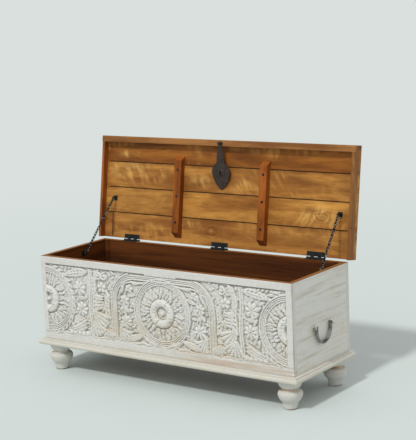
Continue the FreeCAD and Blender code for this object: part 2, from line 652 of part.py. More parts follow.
def handle(side):
    pivot = handle_pivot(side)
    x0 = pivot.x - BAIL_WIDTH / 2
    outer = HANDLE_HALF_WIDTH + BAIL_THICKNESS / 2
    head = HANDLE_PIN_RADIUS

    def bow(radius, top):
        centre_z = pivot.z - HANDLE_DROP + HANDLE_HALF_WIDTH
        left = vector(x0, pivot.y - radius, centre_z)
        right = vector(x0, pivot.y + radius, centre_z)
        low = vector(x0, pivot.y, centre_z - radius)
        high_left = vector(x0, pivot.y - radius, top)
        high_right = vector(x0, pivot.y + radius, top)
        edges = [
            Part.makeLine(high_left, left),
            Part.Arc(left, low, right).toShape(),
            Part.makeLine(right, high_right),
            Part.makeLine(high_right, high_left),
        ]
        return Part.Face(Part.Wire(edges)).extrude(X_AXIS * BAIL_WIDTH)

    top = pivot.z + head
    block = bow(outer, top)
    rims = [edge for edge in block.Edges if runs_round_bail(edge, top)]
    bail = block.makeChamfer(BAIL_BEVEL, rims).cut(bow(outer - BAIL_THICKNESS, top + head))
    ends = []
    for end in (-1, 1):
        start = pivot + Y_AXIS * (end * HANDLE_HALF_WIDTH)
        tip = start + Y_AXIS * (end * HANDLE_PIN_LENGTH)
        ends.append(rod(HANDLE_PIN_RADIUS, start, tip))
        curl = tip + Z_AXIS * HANDLE_PIN_RADIUS
        ends.append(Part.makeCone(HANDLE_PIN_RADIUS, HANDLE_TIP_RADIUS, HANDLE_TIP, curl, Z_AXIS * -1))
    return bail.fuse(ends).removeSplitter()


def runs_round_bail(edge, top):
    start, end = [vertex.Point for vertex in edge.Vertexes]
    lies_on_top = abs(start.z - top) < SAME_PLACE and abs(end.z - top) < SAME_PLACE
    return abs(start.x - end.x) < SAME_PLACE and not lies_on_top


def handle_eye(side, end):
    pivot = handle_pivot(side)
    near = HANDLE_HALF_WIDTH + BAIL_THICKNESS / 2 + HANDLE_EYE_GAP
    y0, y1 = sorted((pivot.y + end * near, pivot.y + end * (near + HANDLE_EYE_WIDTH)))
    wall = side * HALF_LENGTH
    x0, x1 = sorted((wall, pivot.x))
    ring_start = vector(pivot.x, y0, pivot.z)
    ring_end = vector(pivot.x, y1, pivot.z)
    ring = rod(HANDLE_EYE_RADIUS, ring_start, ring_end)
    half = HANDLE_NECK_HALF_HEIGHT
    neck = box(x0, x1, y0, y1, pivot.z - half, pivot.z + half)
    middle = vector(wall, (y0 + y1) / 2, pivot.z)
    plate = rod(HANDLE_PLATE_RADIUS, middle, middle + X_AXIS * (side * HANDLE_PLATE_THICKNESS))
    bore = rod(HANDLE_PIN_RADIUS + HANDLE_PLAY, ring_start, ring_end)
    return ring.fuse([neck, plate]).cut(bore).removeSplitter()


SIDES = (("left", -1), ("right", 1))
os.makedirs("parts", exist_ok=True)

save("front_panel", [front_panel()])
save("back_panel", [back_panel()])
for name, side in SIDES:
    save(name + "_panel", [side_panel(side)])
for index in range(FLOOR_BOARDS):
    save("floor_board_%d" % (index + 1), [floor_board(index)])

save("plinth_front", [plinth_front()])
save("plinth_back", [plinth_back()])
for name, side in SIDES:
    save("plinth_" + name, [plinth_side(side)])
    x = side * (HALF_LENGTH - FOOT_INSET_X)
    save("foot_front_" + name, [foot(x, FRONT_Y + FOOT_INSET_Y)])
    save("foot_back_" + name, [foot(x, BACK_Y - FOOT_INSET_Y)])

patch_x = PLANK_PATCH_WIDTH - LID_HALF
save("lid_plank_1_end", [swing_open(lid_plank(0, -LID_HALF, patch_x))])
save("lid_plank_1", [swing_open(lid_plank(0, patch_x, LID_HALF))])
for index in range(1, PLANK_COUNT):
    save("lid_plank_%d" % (index + 1), [swing_open(lid_plank(index, -LID_HALF, LID_HALF))])
save("lid_rail_front", [swing_open(rail_front())])
for name, side in SIDES:
    save("lid_rail_" + name, [swing_open(rail_side(side))])
    save("lid_batten_" + name, [swing_open(batten(side))])

for index, x in enumerate(HINGE_XS):
    save("hinge_%d_wall_leaf" % (index + 1), [hinge_leaf(x, False)])
    save("hinge_%d_lid_leaf" % (index + 1), [swing_open(hinge_leaf(x, True))])
    save("hinge_%d_pin" % (index + 1), [hinge_pin(x)])

for name, side in SIDES:
    links = chain_links(side)
    save("chain_lower_" + name, links[:CHAIN_LOWER_LINKS])
    save("chain_upper_" + name, links[CHAIN_LOWER_LINKS:])
    save("chain_plate_wall_" + name, [chain_plate_wall(side)])
    save("chain_plate_lid_" + name, [swing_open(chain_plate_lid(side))])

save("hasp_staple", [swing_open(hasp_staple())])
save("hasp", [swing_open(hasp())])
for name, side in SIDES:
    save("handle_" + name, [handle(side)])
    save("handle_eyes_" + name, [handle_eye(side, end) for end in (-1, 1)])
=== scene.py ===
import json
import math

import bpy
import numpy as np
from mathutils import Matrix, Vector


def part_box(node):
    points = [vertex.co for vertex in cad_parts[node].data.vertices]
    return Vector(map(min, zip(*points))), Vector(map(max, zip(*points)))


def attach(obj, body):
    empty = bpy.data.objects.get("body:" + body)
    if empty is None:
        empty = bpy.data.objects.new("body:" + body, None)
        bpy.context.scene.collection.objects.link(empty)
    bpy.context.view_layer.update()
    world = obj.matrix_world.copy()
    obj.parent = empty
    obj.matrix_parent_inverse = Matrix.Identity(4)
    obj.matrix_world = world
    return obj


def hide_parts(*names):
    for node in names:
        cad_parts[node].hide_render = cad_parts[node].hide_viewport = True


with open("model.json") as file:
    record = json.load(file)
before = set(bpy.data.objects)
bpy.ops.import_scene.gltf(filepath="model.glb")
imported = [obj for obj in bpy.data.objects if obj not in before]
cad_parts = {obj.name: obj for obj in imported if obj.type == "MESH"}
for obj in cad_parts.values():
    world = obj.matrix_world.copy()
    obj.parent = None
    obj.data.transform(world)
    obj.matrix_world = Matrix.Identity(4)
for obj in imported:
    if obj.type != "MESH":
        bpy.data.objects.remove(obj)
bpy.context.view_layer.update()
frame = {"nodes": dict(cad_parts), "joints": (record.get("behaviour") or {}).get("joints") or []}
nodes = frame["nodes"]


# Feet: four turned feet under the plinth's corners, each lathed as one closed mesh.
# Whitewashed wood, rubbed bare in the groove under the collar and scuffed brown round the sole.
# The profile's points are radius and height in millimetres.
MM = 0.001
FOOT_TOP = round(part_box("foot_front_left")[1][2] / MM, 3)
FOOT_LIP = 0.8
SOLE, STEM_FOOT, STEM_TOP = (23.2, 0.0), (24.4, FOOT_LIP), (29.4, 26.0)
BULB, SHOULDER = (43.4, 50.0), (36.0, 66.0)
NECK_FOOT, NECK_TOP, COLLAR = (28.0, 70.0), (28.0, 73.0), (42.0, 97.0)


def three_point_arc(start, middle, end, count):
    (ax, ay), (bx, by), (cx, cy) = start, middle, end
    d = 2 * (ax * (by - cy) + bx * (cy - ay) + cx * (ay - by))
    a, b, c = ax * ax + ay * ay, bx * bx + by * by, cx * cx + cy * cy
    ox = (a * (by - cy) + b * (cy - ay) + c * (ay - by)) / d
    oy = (a * (cx - bx) + b * (ax - cx) + c * (bx - ax)) / d
    radius = math.hypot(ax - ox, ay - oy)
    turns = np.unwrap([math.atan2(y - oy, x - ox) for x, y in (start, middle, end)])
    return [(ox + radius * math.cos(t), oy + radius * math.sin(t))
            for t in np.linspace(turns[0], turns[2], count)]


FOOT_PROFILE = (
    [SOLE, STEM_FOOT]
    + three_point_arc(STEM_FOOT, (26.0, 14.0), STEM_TOP, 9)[1:]
    + three_point_arc(STEM_TOP, (39.6, 38.0), BULB, 12)[1:]
    + three_point_arc(BULB, (41.8, 60.0), SHOULDER, 10)[1:]
    + three_point_arc(SHOULDER, (30.0, 67.6), NECK_FOOT, 6)[1:]
    + [NECK_TOP]
    + three_point_arc(NECK_TOP, (37.5, 82.0), COLLAR, 12)[1:]
    + [(COLLAR[0], FOOT_TOP - FOOT_LIP), (COLLAR[0] - FOOT_LIP, FOOT_TOP)])


def piece(name, points, faces, smooth=False):
    mesh = bpy.data.meshes.new(name)
    mesh.from_pydata([tuple(c * MM for c in p) for p in points], [], faces)
    mesh.validate()
    mesh.update()
    made = bpy.data.objects.new(name, mesh)
    bpy.context.scene.collection.objects.link(made)
    if smooth:
        mesh.shade_smooth()
    return made


def lathe(name, profile, x, y, sides=72):
    """Closed turning about a vertical line; the profile runs from the sole up to the top."""
    ring = np.linspace(0.0, 2 * math.pi, sides, endpoint=False)
    points = [(x, y, profile[0][1])]
    for radius, z in profile:
        points += [(x + radius * math.cos(t), y + radius * math.sin(t), z) for t in ring]
    points.append((x, y, profile[-1][1]))
    last = len(points) - 1
    faces = [(0, 1 + (k + 1) % sides, 1 + k) for k in range(sides)]
    for level in range(len(profile) - 1):
        low = 1 + level * sides
        for k in range(sides):
            n = (k + 1) % sides
            faces.append((low + k, low + n, low + sides + n, low + sides + k))
    high = last - sides
    faces += [(last, high + k, high + (k + 1) % sides) for k in range(sides)]
    return piece(name, points, faces, smooth=True)


def clothe(made, material):
    made.data.materials.clear()
    made.data.materials.append(material)


def srgb(red, green, blue):
    def linear(v):
        v /= 255.0
        return v / 12.92 if v <= 0.04045 else ((v + 0.055) / 1.055) ** 2.4
    return (linear(red), linear(green), linear(blue), 1.0)


def put(tree, kind, sockets=None, **settings):
    """A new node with its settings, each socket linked or set to a value."""
    made = tree.nodes.new(kind)
    for name, value in settings.items():
        setattr(made, name, value)
    for name, value in (sockets or {}).items():
        if isinstance(value, bpy.types.NodeSocket):
            tree.links.new(value, made.inputs[name])
        else:
            made.inputs[name].default_value = value
    return made


def calc(tree, operation, first, second=0.0):
    return put(tree, "ShaderNodeMath", {0: first, 1: second}, operation=operation).outputs[0]


def times(tree, first, second):
    return calc(tree, "MULTIPLY", first, second)


def blend(tree, factor, first, second, kind="MIX"):
    return put(tree, "ShaderNodeMix", {0: factor, 6: first, 7: second},
               data_type="RGBA", blend_type=kind).outputs[2]


def fade(tree, value, start, end, low=0.0, high=1.0):
    return put(tree, "ShaderNodeMapRange", {"Value": value, "From Min": start, "From Max": end,
               "To Min": low, "To Max": high}, interpolation_type="SMOOTHSTEP").outputs[0]


def strip(tree, value, start, full, fading, end):
    """A mask that is full between the inner two of four heights in millimetres."""
    return times(tree, fade(tree, value, start * MM, full * MM), fade(tree, value, end * MM, fading * MM))


def cloud(tree, vector, scale, detail=3.0, rough=0.5, twist=0.0):
    return put(tree, "ShaderNodeTexNoise", {"Vector": vector, "Scale": scale, "Detail": detail,
               "Roughness": rough, "Distortion": twist}).outputs[0]


def vector_calc(tree, operation, first, second, output="Vector"):
    return put(tree, "ShaderNodeVectorMath", {0: first, 1: second}, operation=operation).outputs[output]


def stretch(tree, vector, by):
    return vector_calc(tree, "MULTIPLY", vector, by)


def split(tree, vector):
    return put(tree, "ShaderNodeSeparateXYZ", {0: vector}).outputs


def relief(tree, height, strength, distance):
    return put(tree, "ShaderNodeBump", {"Height": height, "Strength": strength,
               "Distance": distance}).outputs[0]


def effect(name, inputs, outputs):
    tree = bpy.data.node_groups.new(name, "ShaderNodeTree")
    for label, kind in inputs:
        tree.interface.new_socket(label, in_out="INPUT", socket_type="NodeSocket" + kind)
    for label, kind in outputs:
        tree.interface.new_socket(label, in_out="OUTPUT", socket_type="NodeSocket" + kind)
    return tree, tree.nodes.new("NodeGroupInput").outputs, tree.nodes.new("NodeGroupOutput").inputs


def use(tree, group, sockets):
    return put(tree, "ShaderNodeGroup", sockets, node_tree=group).outputs


def surface(name):
    made = bpy.data.materials.new(name)
    made.use_nodes = True
    tree = made.node_tree
    place = tree.nodes.new("ShaderNodeTexCoord").outputs["Object"]
    return made, tree, tree.nodes["Principled BSDF"].inputs, place


def coat(tree, shader, colour, roughness, normal=None):
    tree.links.new(colour, shader["Base Color"])
    tree.links.new(roughness, shader["Roughness"])
    if normal is not None:
        tree.links.new(normal, shader["Normal"])


def wood_coat(tree, shader, colour, wood, strength, depth, shine=0.5):
    """The colour on the shader, with the roughness and the raised grain of the wood under it."""
    coat(tree, shader, colour, wood["Roughness"], relief(tree, wood["Height"], strength, depth))
    shader["Specular IOR Level"].default_value = shine


WASH_DULL, WASH_BRIGHT = srgb(207, 207, 202), srgb(223, 223, 219)
WASH_THIN, WASH_VEIN = srgb(204, 192, 166), srgb(180, 170, 148)
chalk, given, result = effect(
    "chalk_wash", [("Vector", "Vector"), ("Along", "Vector"), ("Wear", "Float"), ("Veins", "Float")],
    [("Color", "Color"), ("Roughness", "Float"), ("Height", "Float")])
along = stretch(chalk, given["Vector"], given["Along"])
streak = cloud(chalk, along, 5.0, 5.0, 0.62, 0.3)
mottle = cloud(chalk, given["Vector"], 8.0, 4.0, 0.6)
brush = cloud(chalk, along, 22.0, 4.0, 0.7)
patchy = calc(chalk, "ADD", times(chalk, mottle, 0.55), given["Wear"])
thin = fade(chalk, calc(chalk, "ADD", times(chalk, streak, 0.75), patchy), 0.72, 1.02)
wash = blend(chalk, fade(chalk, brush, 0.35, 0.7), WASH_DULL, WASH_BRIGHT)
wash = blend(chalk, thin, wash, WASH_THIN)
vein = fade(chalk, cloud(chalk, along, 3.4, 6.0, 0.7, 0.2), 0.46, 0.7)
wash = blend(chalk, times(chalk, vein, given["Veins"]), wash, WASH_VEIN)
chalk.links.new(wash, result["Color"])
chalk.links.new(fade(chalk, streak, 0.2, 0.8, 0.72, 0.9), result["Roughness"])
chalk.links.new(brush, result["Height"])

FOOT_CREAM, FOOT_BARE, FOOT_SCUFF = srgb(196, 194, 182), srgb(174, 140, 96), srgb(112, 84, 54)
turned_wood, tree, shader, place = surface("turned_whitewash")
wash = use(tree, chalk, {"Vector": place, "Along": (9.0, 9.0, 3.0), "Wear": -0.04})
height = split(tree, place)["Z"]
groove = strip(tree, height, SHOULDER[1] - 0.5, NECK_FOOT[1] - 1.0, NECK_TOP[1] + 1.5, NECK_TOP[1] + 5.5)
bulge = strip(tree, height, BULB[1] - 4.0, BULB[1], BULB[1] + 2.0, BULB[1] + 6.0)
sole = fade(tree, height, 6.0 * MM, 1.0 * MM)
bare = calc(tree, "MAXIMUM", calc(tree, "MAXIMUM", groove, sole), times(tree, bulge, 0.2))
bare = times(tree, bare, fade(tree, cloud(tree, place, 24.0, 4.0), 0.38, 0.66))
scuffed = fade(tree, cloud(tree, place, 30.0), 0.22, 0.55)
scuffed = times(tree, fade(tree, height, 7.0 * MM, 2.0 * MM), scuffed)
colour = blend(tree, 0.45, wash["Color"], FOOT_CREAM)
colour = blend(tree, bare, colour, FOOT_BARE)
colour = blend(tree, times(tree, scuffed, 0.75), colour, FOOT_SCUFF)
wood_coat(tree, shader, colour, wash, 0.25, 0.0006)

for end in ("left", "right"):
    for side in ("front", "back"):
        low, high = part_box(f"foot_{side}_{end}")
        x, y = ((low[k] + high[k]) / 2 / MM for k in (0, 1))
        foot = lathe(f"turned_foot_{side}_{end}", FOOT_PROFILE, x, y)
        clothe(foot, turned_wood)
        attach(foot, "base")
        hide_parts(f"foot_{side}_{end}")


# Plinth: moulded boards round the foot of the carcass, mitred in front, on the four feet.
# Whitewashed wood of a warmer cream, with the wash thin along the lip.
PLINTH_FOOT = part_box("plinth_front")[0][2]
PLINTH_CREAM, PLINTH_LIP = srgb(200, 195, 178), srgb(205, 184, 146)


def dress(material, *names):
    for name in names:
        for holder in nodes[name].material_slots:
            holder.material = material


cream_wood, tree, shader, place = surface("plinth_whitewash")
wash = use(tree, chalk, {"Vector": place, "Along": (2.0, 2.0, 26.0), "Wear": 0.03, "Veins": 0.32})
lip = fade(tree, split(tree, place)["Z"], PLINTH_FOOT + 10.0 * MM, PLINTH_FOOT + 4.0 * MM)
lip = times(tree, lip, fade(tree, cloud(tree, place, 18.0), 0.4, 0.6))
colour = blend(tree, 0.5, wash["Color"], PLINTH_CREAM)
colour = blend(tree, times(tree, lip, 0.35), colour, PLINTH_LIP)
wood_coat(tree, shader, colour, wash, 0.2, 0.0005)
dress(cream_wood, "plinth_front", "plinth_back", "plinth_left", "plinth_right")


# Carcass: back and end panels, housed between front and back and standing on the plinth.
# Whitewashed outside with horizontal grain; brown stained wood inside and along the tops.
(INNER_X, INNER_FRONT, WALL_FOOT), (OUTER_X, INNER_BACK, WALL_TOP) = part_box("right_panel")
FRONT_FACE = INNER_FRONT - (OUTER_X - INNER_X)
SHY = 0.4 * MM
DULL_SHINE = 0.2
STAIN_LIGHT, STAIN_DARK, TOP_BROWN = srgb(112, 62, 22), srgb(74, 37, 11), srgb(140, 93, 49)
END_WHITE, END_AGED, RUBBED = srgb(240, 238, 230), srgb(208, 190, 148), srgb(152, 130, 98)

grain, given, result = effect(
    "wood_grain", [("Vector", "Vector"), ("Along", "Vector"), ("Light", "Color"), ("Dark", "Color")],
    [("Color", "Color"), ("Roughness", "Float"), ("Height", "Float")])
along = stretch(grain, given["Vector"], given["Along"])
figure = cloud(grain, along, 1.6, 3.0, 0.55, 0.5)
fibre = cloud(grain, along, 9.0, 6.0, 0.7)
rings = calc(grain, "SINE", times(grain, figure, 62.0))
tone = blend(grain, fade(grain, figure, 0.36, 0.64), given["Light"], given["Dark"])
tone = blend(grain, times(grain, fade(grain, rings, 0.2, 1.0), 0.28), tone, given["Dark"])
tone = blend(grain, fade(grain, fibre, 0.52, 0.78, 0.0, 0.55), tone, given["Dark"], "MULTIPLY")
tone = blend(grain, fade(grain, fibre, 0.5, 0.25, 0.0, 0.35), tone, given["Light"])
grain.links.new(tone, result["Color"])
grain.links.new(fade(grain, fibre, 0.3, 0.7, 0.45, 0.68), result["Roughness"])
grain.links.new(fibre, result["Height"])

lining, given, result = effect(
    "stained_inside", [("Vector", "Vector"), ("Outside", "Color"), ("Inside", "Color")], [("Color", "Color")])
axis = split(lining, given["Vector"])
between = calc(lining, "LESS_THAN", calc(lining, "ABSOLUTE", axis["X"]), INNER_X + SHY)
behind = calc(lining, "GREATER_THAN", axis["Y"], INNER_FRONT - SHY)
before = calc(lining, "LESS_THAN", axis["Y"], INNER_BACK + SHY)
within = times(lining, between, times(lining, behind, before))
top = calc(lining, "GREATER_THAN", axis["Z"], WALL_TOP - SHY)
inner = blend(lining, top, given["Inside"], TOP_BROWN)
lined = blend(lining, calc(lining, "MAXIMUM", within, top), given["Outside"], inner)
lining.links.new(lined, result["Color"])

wear, given, result = effect(
    "rubbed_corner", [("Vector", "Vector"), ("Color", "Color")], [("Color", "Color")])
axis = split(wear, given["Vector"])
corner = times(wear, fade(wear, axis["X"], OUTER_X - 4.0 * MM, OUTER_X),
               fade(wear, axis["Y"], FRONT_FACE + 7.0 * MM, FRONT_FACE + 1.0 * MM))
rubbed = times(wear, corner, fade(wear, cloud(wear, given["Vector"], 14.0, 4.0), 0.3, 0.6))
wear.links.new(blend(wear, times(wear, rubbed, 0.7), given["Color"], RUBBED), result["Color"])


def stained(tree, place, outside, along):
    """The colour of the outside, with brown stain over the inner faces and the tops."""
    stain = use(tree, grain, {"Vector": place, "Along": tuple(0.55 * a for a in along),
                "Light": STAIN_LIGHT, "Dark": STAIN_DARK})
    return use(tree, lining, {"Vector": place, "Outside": outside, "Inside": stain["Color"]})["Color"]


ALONG_END, ALONG_BACK = (26.0, 1.2, 26.0), (1.6, 26.0, 26.0)
end_wood, tree, shader, place = surface("carcass_end")
wash = use(tree, chalk, {"Vector": place, "Along": ALONG_END, "Wear": 0.08, "Veins": 1.0})
colour = blend(tree, 0.3, wash["Color"], END_WHITE)
aged = fade(tree, cloud(tree, stretch(tree, place, (1.0, 1.0, 2.0)), 7.0, 4.0, 0.6), 0.56, 0.74, 0.0, 0.4)
colour = blend(tree, aged, colour, END_AGED)
colour = use(tree, wear, {"Vector": place, "Color": colour})["Color"]
colour = stained(tree, place, colour, ALONG_END)
wood_coat(tree, shader, colour, wash, 0.22, 0.0006, DULL_SHINE)
dress(end_wood, "left_panel", "right_panel")

back_wood, tree, shader, place = surface("carcass_back")
wash = use(tree, chalk, {"Vector": place, "Along": ALONG_BACK, "Wear": -0.02, "Veins": 0.4})
colour = stained(tree, place, wash["Color"], ALONG_BACK)
wood_coat(tree, shader, colour, wash, 0.22, 0.0006, DULL_SHINE)
dress(back_wood, "back_panel")


# Front panel: one board carved in low relief, with a rosette in an arch between plume columns.
# Whitewashed wood, darker and tan in the hollows with dirt and painted shade, whiter on the heights with a
# painted highlight; a closed mesh raised and cut back by the chisel.
# Places on it are millimetres from its middle and up from its foot; heights are out from its face.
REAR_Y, FACE_Y, FOOT_Z = INNER_FRONT / MM, FRONT_FACE / MM, WALL_FOOT / MM
BOARD_HALF, BOARD_HEIGHT = round(OUTER_X / MM, 3), round((WALL_TOP - WALL_FOOT) / MM, 3)
ARRIS = 1.5
FIELD_LEFT, FIELD_RIGHT, FIELD_TOP = -543.0, 537.0, 295.5
GROUND = -8.5
CENTRE_Z = 158.0
VEIN_DEPTH, MIDRIB_DEPTH, BARB_DEPTH, TOOTH_DEPTH = 2.6, 1.6, 2.1, 2.0

grid_u = np.concatenate([
    [-BOARD_HALF, ARRIS - BOARD_HALF], np.linspace(5.5 - BOARD_HALF, FIELD_LEFT - 2.5, 3),
    np.linspace(FIELD_LEFT - 1.0, FIELD_RIGHT + 1.0, 566),
    np.linspace(FIELD_RIGHT + 2.5, BOARD_HALF - 5.5, 4), [BOARD_HALF - ARRIS, BOARD_HALF]])
grid_v = np.concatenate([
    [0.0, ARRIS], np.linspace(5.0, 20.0, 4), np.linspace(22.0, FIELD_TOP + 1.5, 154),
    np.linspace(FIELD_TOP + 3.5, BOARD_HEIGHT - 5.0, 4), [BOARD_HEIGHT - ARRIS, BOARD_HEIGHT]])
U, V = np.meshgrid(grid_u, grid_v)
rng = np.random.default_rng(7)
chips = np.random.default_rng(11)
carved = np.full(U.shape, GROUND)
eye_shadow = np.zeros(U.shape)
holes = []


def window(x, z, reach):
    i = np.searchsorted(grid_u, [x - reach, x + reach])
    j = np.searchsorted(grid_v, [z - reach, z + reach])
    return np.s_[j[0]:j[1], i[0]:i[1]]


def dome(q):
    return np.sqrt(np.clip(1 - q * q, 0, 1))


def lift(place, height, where):
    carved[place] = np.maximum(carved[place], np.where(where, height, GROUND))


def leaf(x, z, turn, length, width, top=-0.2, bend=0.0, barbs=0, veins=0):
    """A pointed leaf from its root, with barbs across it and a midrib or veins along it."""
    place = window(x, z, length * (1.1 + abs(bend)) + width)
    a = math.radians(turn)
    du, dv = U[place] - x, V[place] - z
    t = (du * math.cos(a) + dv * math.sin(a)) / length
    s = (dv * math.cos(a) - du * math.sin(a)) / length - bend * t * t
    along = np.clip(t, 1e-4, 1.0)
    half = 0.5 * width / length * np.sin(np.pi * along ** 0.75) ** 0.8 + 1e-6
    q = np.abs(s) / half
    height = GROUND + (top - GROUND) * (0.58 + 0.42 * dome(q))
    if veins:
        height -= VEIN_DEPTH * (0.5 - 0.5 * np.cos(2 * np.pi * veins * s / half)) ** 1.5
    else:
        height -= MIDRIB_DEPTH * np.exp(-(q / 0.2) ** 2) * (along < 0.9)
    if barbs:
        height -= BARB_DEPTH * (0.5 - 0.5 * np.cos(2 * np.pi * (along * barbs - 0.7 * q)))
    lift(place, height, (t > 0) & (t < 1) & (q < 1))


def sweep(points, count):
    """A smooth path through a few points, evenly sampled between each pair."""
    p = np.array([points[0]] + list(points) + [points[-1]], float)
    path = []
    for k in range(1, len(p) - 2):
        for t in np.linspace(0, 1, count, endpoint=False):
            path.append(0.5 * ((2 * p[k]) + (p[k + 1] - p[k - 1]) * t
                               + (2 * p[k - 1] - 5 * p[k] + 4 * p[k + 1] - p[k + 2]) * t ** 2
                               + (3 * p[k] - p[k - 1] - 3 * p[k + 1] + p[k + 2]) * t ** 3))
    return np.array(path + [p[-1]])


def cord(path, radius, top):
    """A rounded moulding along a path."""
    path = np.array(path)
    middle = (path.max(0) + path.min(0)) / 2
    place = window(middle[0], middle[1], np.abs(path - middle).max() + radius + 2)
    near = np.full(U[place].shape, 1e9)
    for x, z in path:
        near = np.minimum(near, (U[place] - x) ** 2 + (V[place] - z) ** 2)
    q = np.sqrt(near) / radius
    lift(place, GROUND + (top - GROUND) * dome(q), q < 1)


def plume(points, side, first, last, width, ribs):
    """A stem with ribs along one side, their length going from first to last."""
    path = sweep(points, 14)
    cord(path, 4.2, 0.2)
    for k in range(ribs):
        at = 1 + int((len(path) - 3) * k / (ribs - 1))
        run = path[at + 1] - path[at - 1]
        turn = math.degrees(math.atan2(run[1], run[0])) + side * 66
        length = first + (last - first) * k / (ribs - 1)
        leaf(path[at][0], path[at][1], turn, length, width, -0.1, -0.5 * side)


def dot(x, z, radius, top=-0.3):
    place = window(x, z, radius + 2)
    q = np.hypot(U[place] - x, V[place] - z) / radius
    lift(place, GROUND + (top - GROUND) * dome(q), q < 1)


def berry(x, z, radius, hole, top=-0.3):
    dot(x, z, radius, top)
    holes.append((x, z, hole))


def scroll(x, z, start, turns, large, small, radius, top=0.0):
    t = np.linspace(0, 1, 60)
    reach = large + (small - large) * t
    turn = math.radians(start) + turns * 2 * math.pi * t
    cord(np.stack([x + reach * np.cos(turn), z + reach * np.sin(turn)], 1), radius, top)
    dot(x, z, small * 0.8 + 2.0, top)


def flower(x, z, radius, petals, turn=0.0, top=0.2):
    place = window(x, z, radius + 2)
    du, dv = U[place] - x, V[place] - z
    rho, theta = np.hypot(du, dv), np.arctan2(dv, du) - math.radians(turn)
    lobe = np.abs(np.cos(petals * theta / 2))
    q = rho / (radius * (0.62 + 0.38 * lobe ** 0.6))
    cup = 0.55 + 0.45 * np.sin(np.pi * np.clip(q, 0, 1)) ** 0.8
    lift(place, GROUND + (top - GROUND) * cup * (0.5 + 0.5 * lobe), q < 1)
    berry(x, z, 0.26 * radius, 0.1 * radius, top)


def fan(x, z, radius, first, last, lobes, top=0.0):
    """Rounded lobes spread between two turns about one point."""
    place = window(x, z, radius + 2)
    du, dv = U[place] - x, V[place] - z
    rho, theta = np.hypot(du, dv), np.degrees(np.arctan2(dv, du))
    share = ((theta - first) % 360) / (last - first)
    s = 2 * np.abs((share * lobes) % 1.0 - 0.5)
    q = rho / (radius * (0.82 + 0.18 * dome(s)))
    height = GROUND + (top - GROUND) * (0.5 + 0.5 * dome(s)) * np.sqrt(np.clip(1 - q ** 6, 0, 1))
    lift(place, height, (share < 1) & (q < 1) & (rho > 3))


def mirror(turn, way):
    return turn if way > 0 else 180 - turn


def shell(x, z, radius, first, last, lobes, way):
    first, last = sorted((mirror(first, way), mirror(last, way)))
    fan(x, z, radius, first, last, lobes, 0.8)


def line(distance, half, top):
    q = np.abs(distance) / half
    np.maximum(carved, np.where(q < 1, GROUND + (top - GROUND) * dome(q), GROUND), out=carved)


# a low ground of small leaves that fills what the main motifs leave open
for k in range(480):
    x, z = rng.uniform(-530, 530), rng.uniform(36, 290)
    leaf(x, z, rng.uniform(0, 360), rng.uniform(18, 30), rng.uniform(8, 12), -3.0, rng.uniform(-0.4, 0.4), 3)

# the whole rosette and the two halves that end against the stiles: rows of petals in a lined rim, round a
# chipped ring with a knob in its deep eye
ROSETTE_REACH, PETAL_FLOOR = 127.0, -7.6
RING_RADIUS, RING_HALF, RING_FOOT, RING_RISE = 39.0, 14.8, -6.0, 12.0
RING_REACH, RING_CHIPS = RING_RADIUS + RING_HALF, 90
EYE_RADIUS, EYE_FLOOR, KNOB_RADIUS, KNOB_RISE = 24.3, -14.0, 10.5, 12.5
ARCH_X, HALF_ROSETTES = 8.0, (-538.0, 552.0)


def rosette(x, z):
    du, dv = U - x, V - z
    rho = np.hypot(du, dv)
    carved[rho < ROSETTE_REACH] = GROUND
    lift(np.s_[:, :], np.full(U.shape, PETAL_FLOOR), (rho > 50) & (rho < 106))
    for count, stagger, reach, length, width, top in (
            (36, 0.0, 77, 28, 11, -1.6), (30, 0.5, 68, 24, 9, -0.6), (30, 0.0, 55, 30, 10, 0.2)):
        for k in range(count):
            turn = 360.0 / count * (k + stagger) + rng.uniform(-2, 2)
            a = math.radians(turn)
            leaf(x + reach * math.cos(a), z + reach * math.sin(a), turn + rng.uniform(-16, 16),
                 length + rng.uniform(-6, 2), width + rng.uniform(-2, 2), top + rng.uniform(-2.4, 0.6),
                 rng.uniform(-0.2, 0.3), 3)
    for reach, half, top in ((104, 2.8, -2.0), (110.5, 2.8, -1.6), (117, 2.8, -1.2), (124.5, 3.6, 0.2)):
        line(rho - reach, half, top)
    # a groove cut round the lower right of the ring only, which the hollows' painted shade darkens into the
    # ring's shadow
    undercut = (rho > RING_REACH) & (rho < RING_REACH + 4.2) & (0.6 * du > 0.8 * dv)
    carved[undercut] = GROUND - 2.5
    ring = RING_FOOT + RING_RISE * dome((rho - RING_RADIUS) / RING_HALF)
    lift(np.s_[:, :], ring, (rho > EYE_RADIUS) & (rho < RING_REACH))
    for k in range(RING_CHIPS):
        a, reach = chips.uniform(0, 2 * math.pi), chips.uniform(27, 53)
        apart = np.hypot(du - reach * math.cos(a), dv - reach * math.sin(a))
        carved[:] -= chips.uniform(1.2, 2.6) * dome(apart / chips.uniform(2.6, 4.6))
    eye = np.where(rho < KNOB_RADIUS, EYE_FLOOR + KNOB_RISE * dome(rho / KNOB_RADIUS), EYE_FLOOR)
    carved[rho < EYE_RADIUS] = eye[rho < EYE_RADIUS]
    # painted shadow: dark crescents in the eye, along its upper side and under the knob, added to the
    # hollows' darkening
    above = np.clip((0.4 * du + 0.9 * dv) / 20, 0, 1) * (rho > 13.0) * (rho < EYE_RADIUS)
    below = np.clip((0.5 * du - 0.85 * dv) / 10, 0, 1) * (rho > 9.0) * (rho < 16.0)
    np.maximum(eye_shadow, np.maximum(above, below), out=eye_shadow)


for x in (ARCH_X, *HALF_ROSETTES):
    rosette(x, CENTRE_Z)

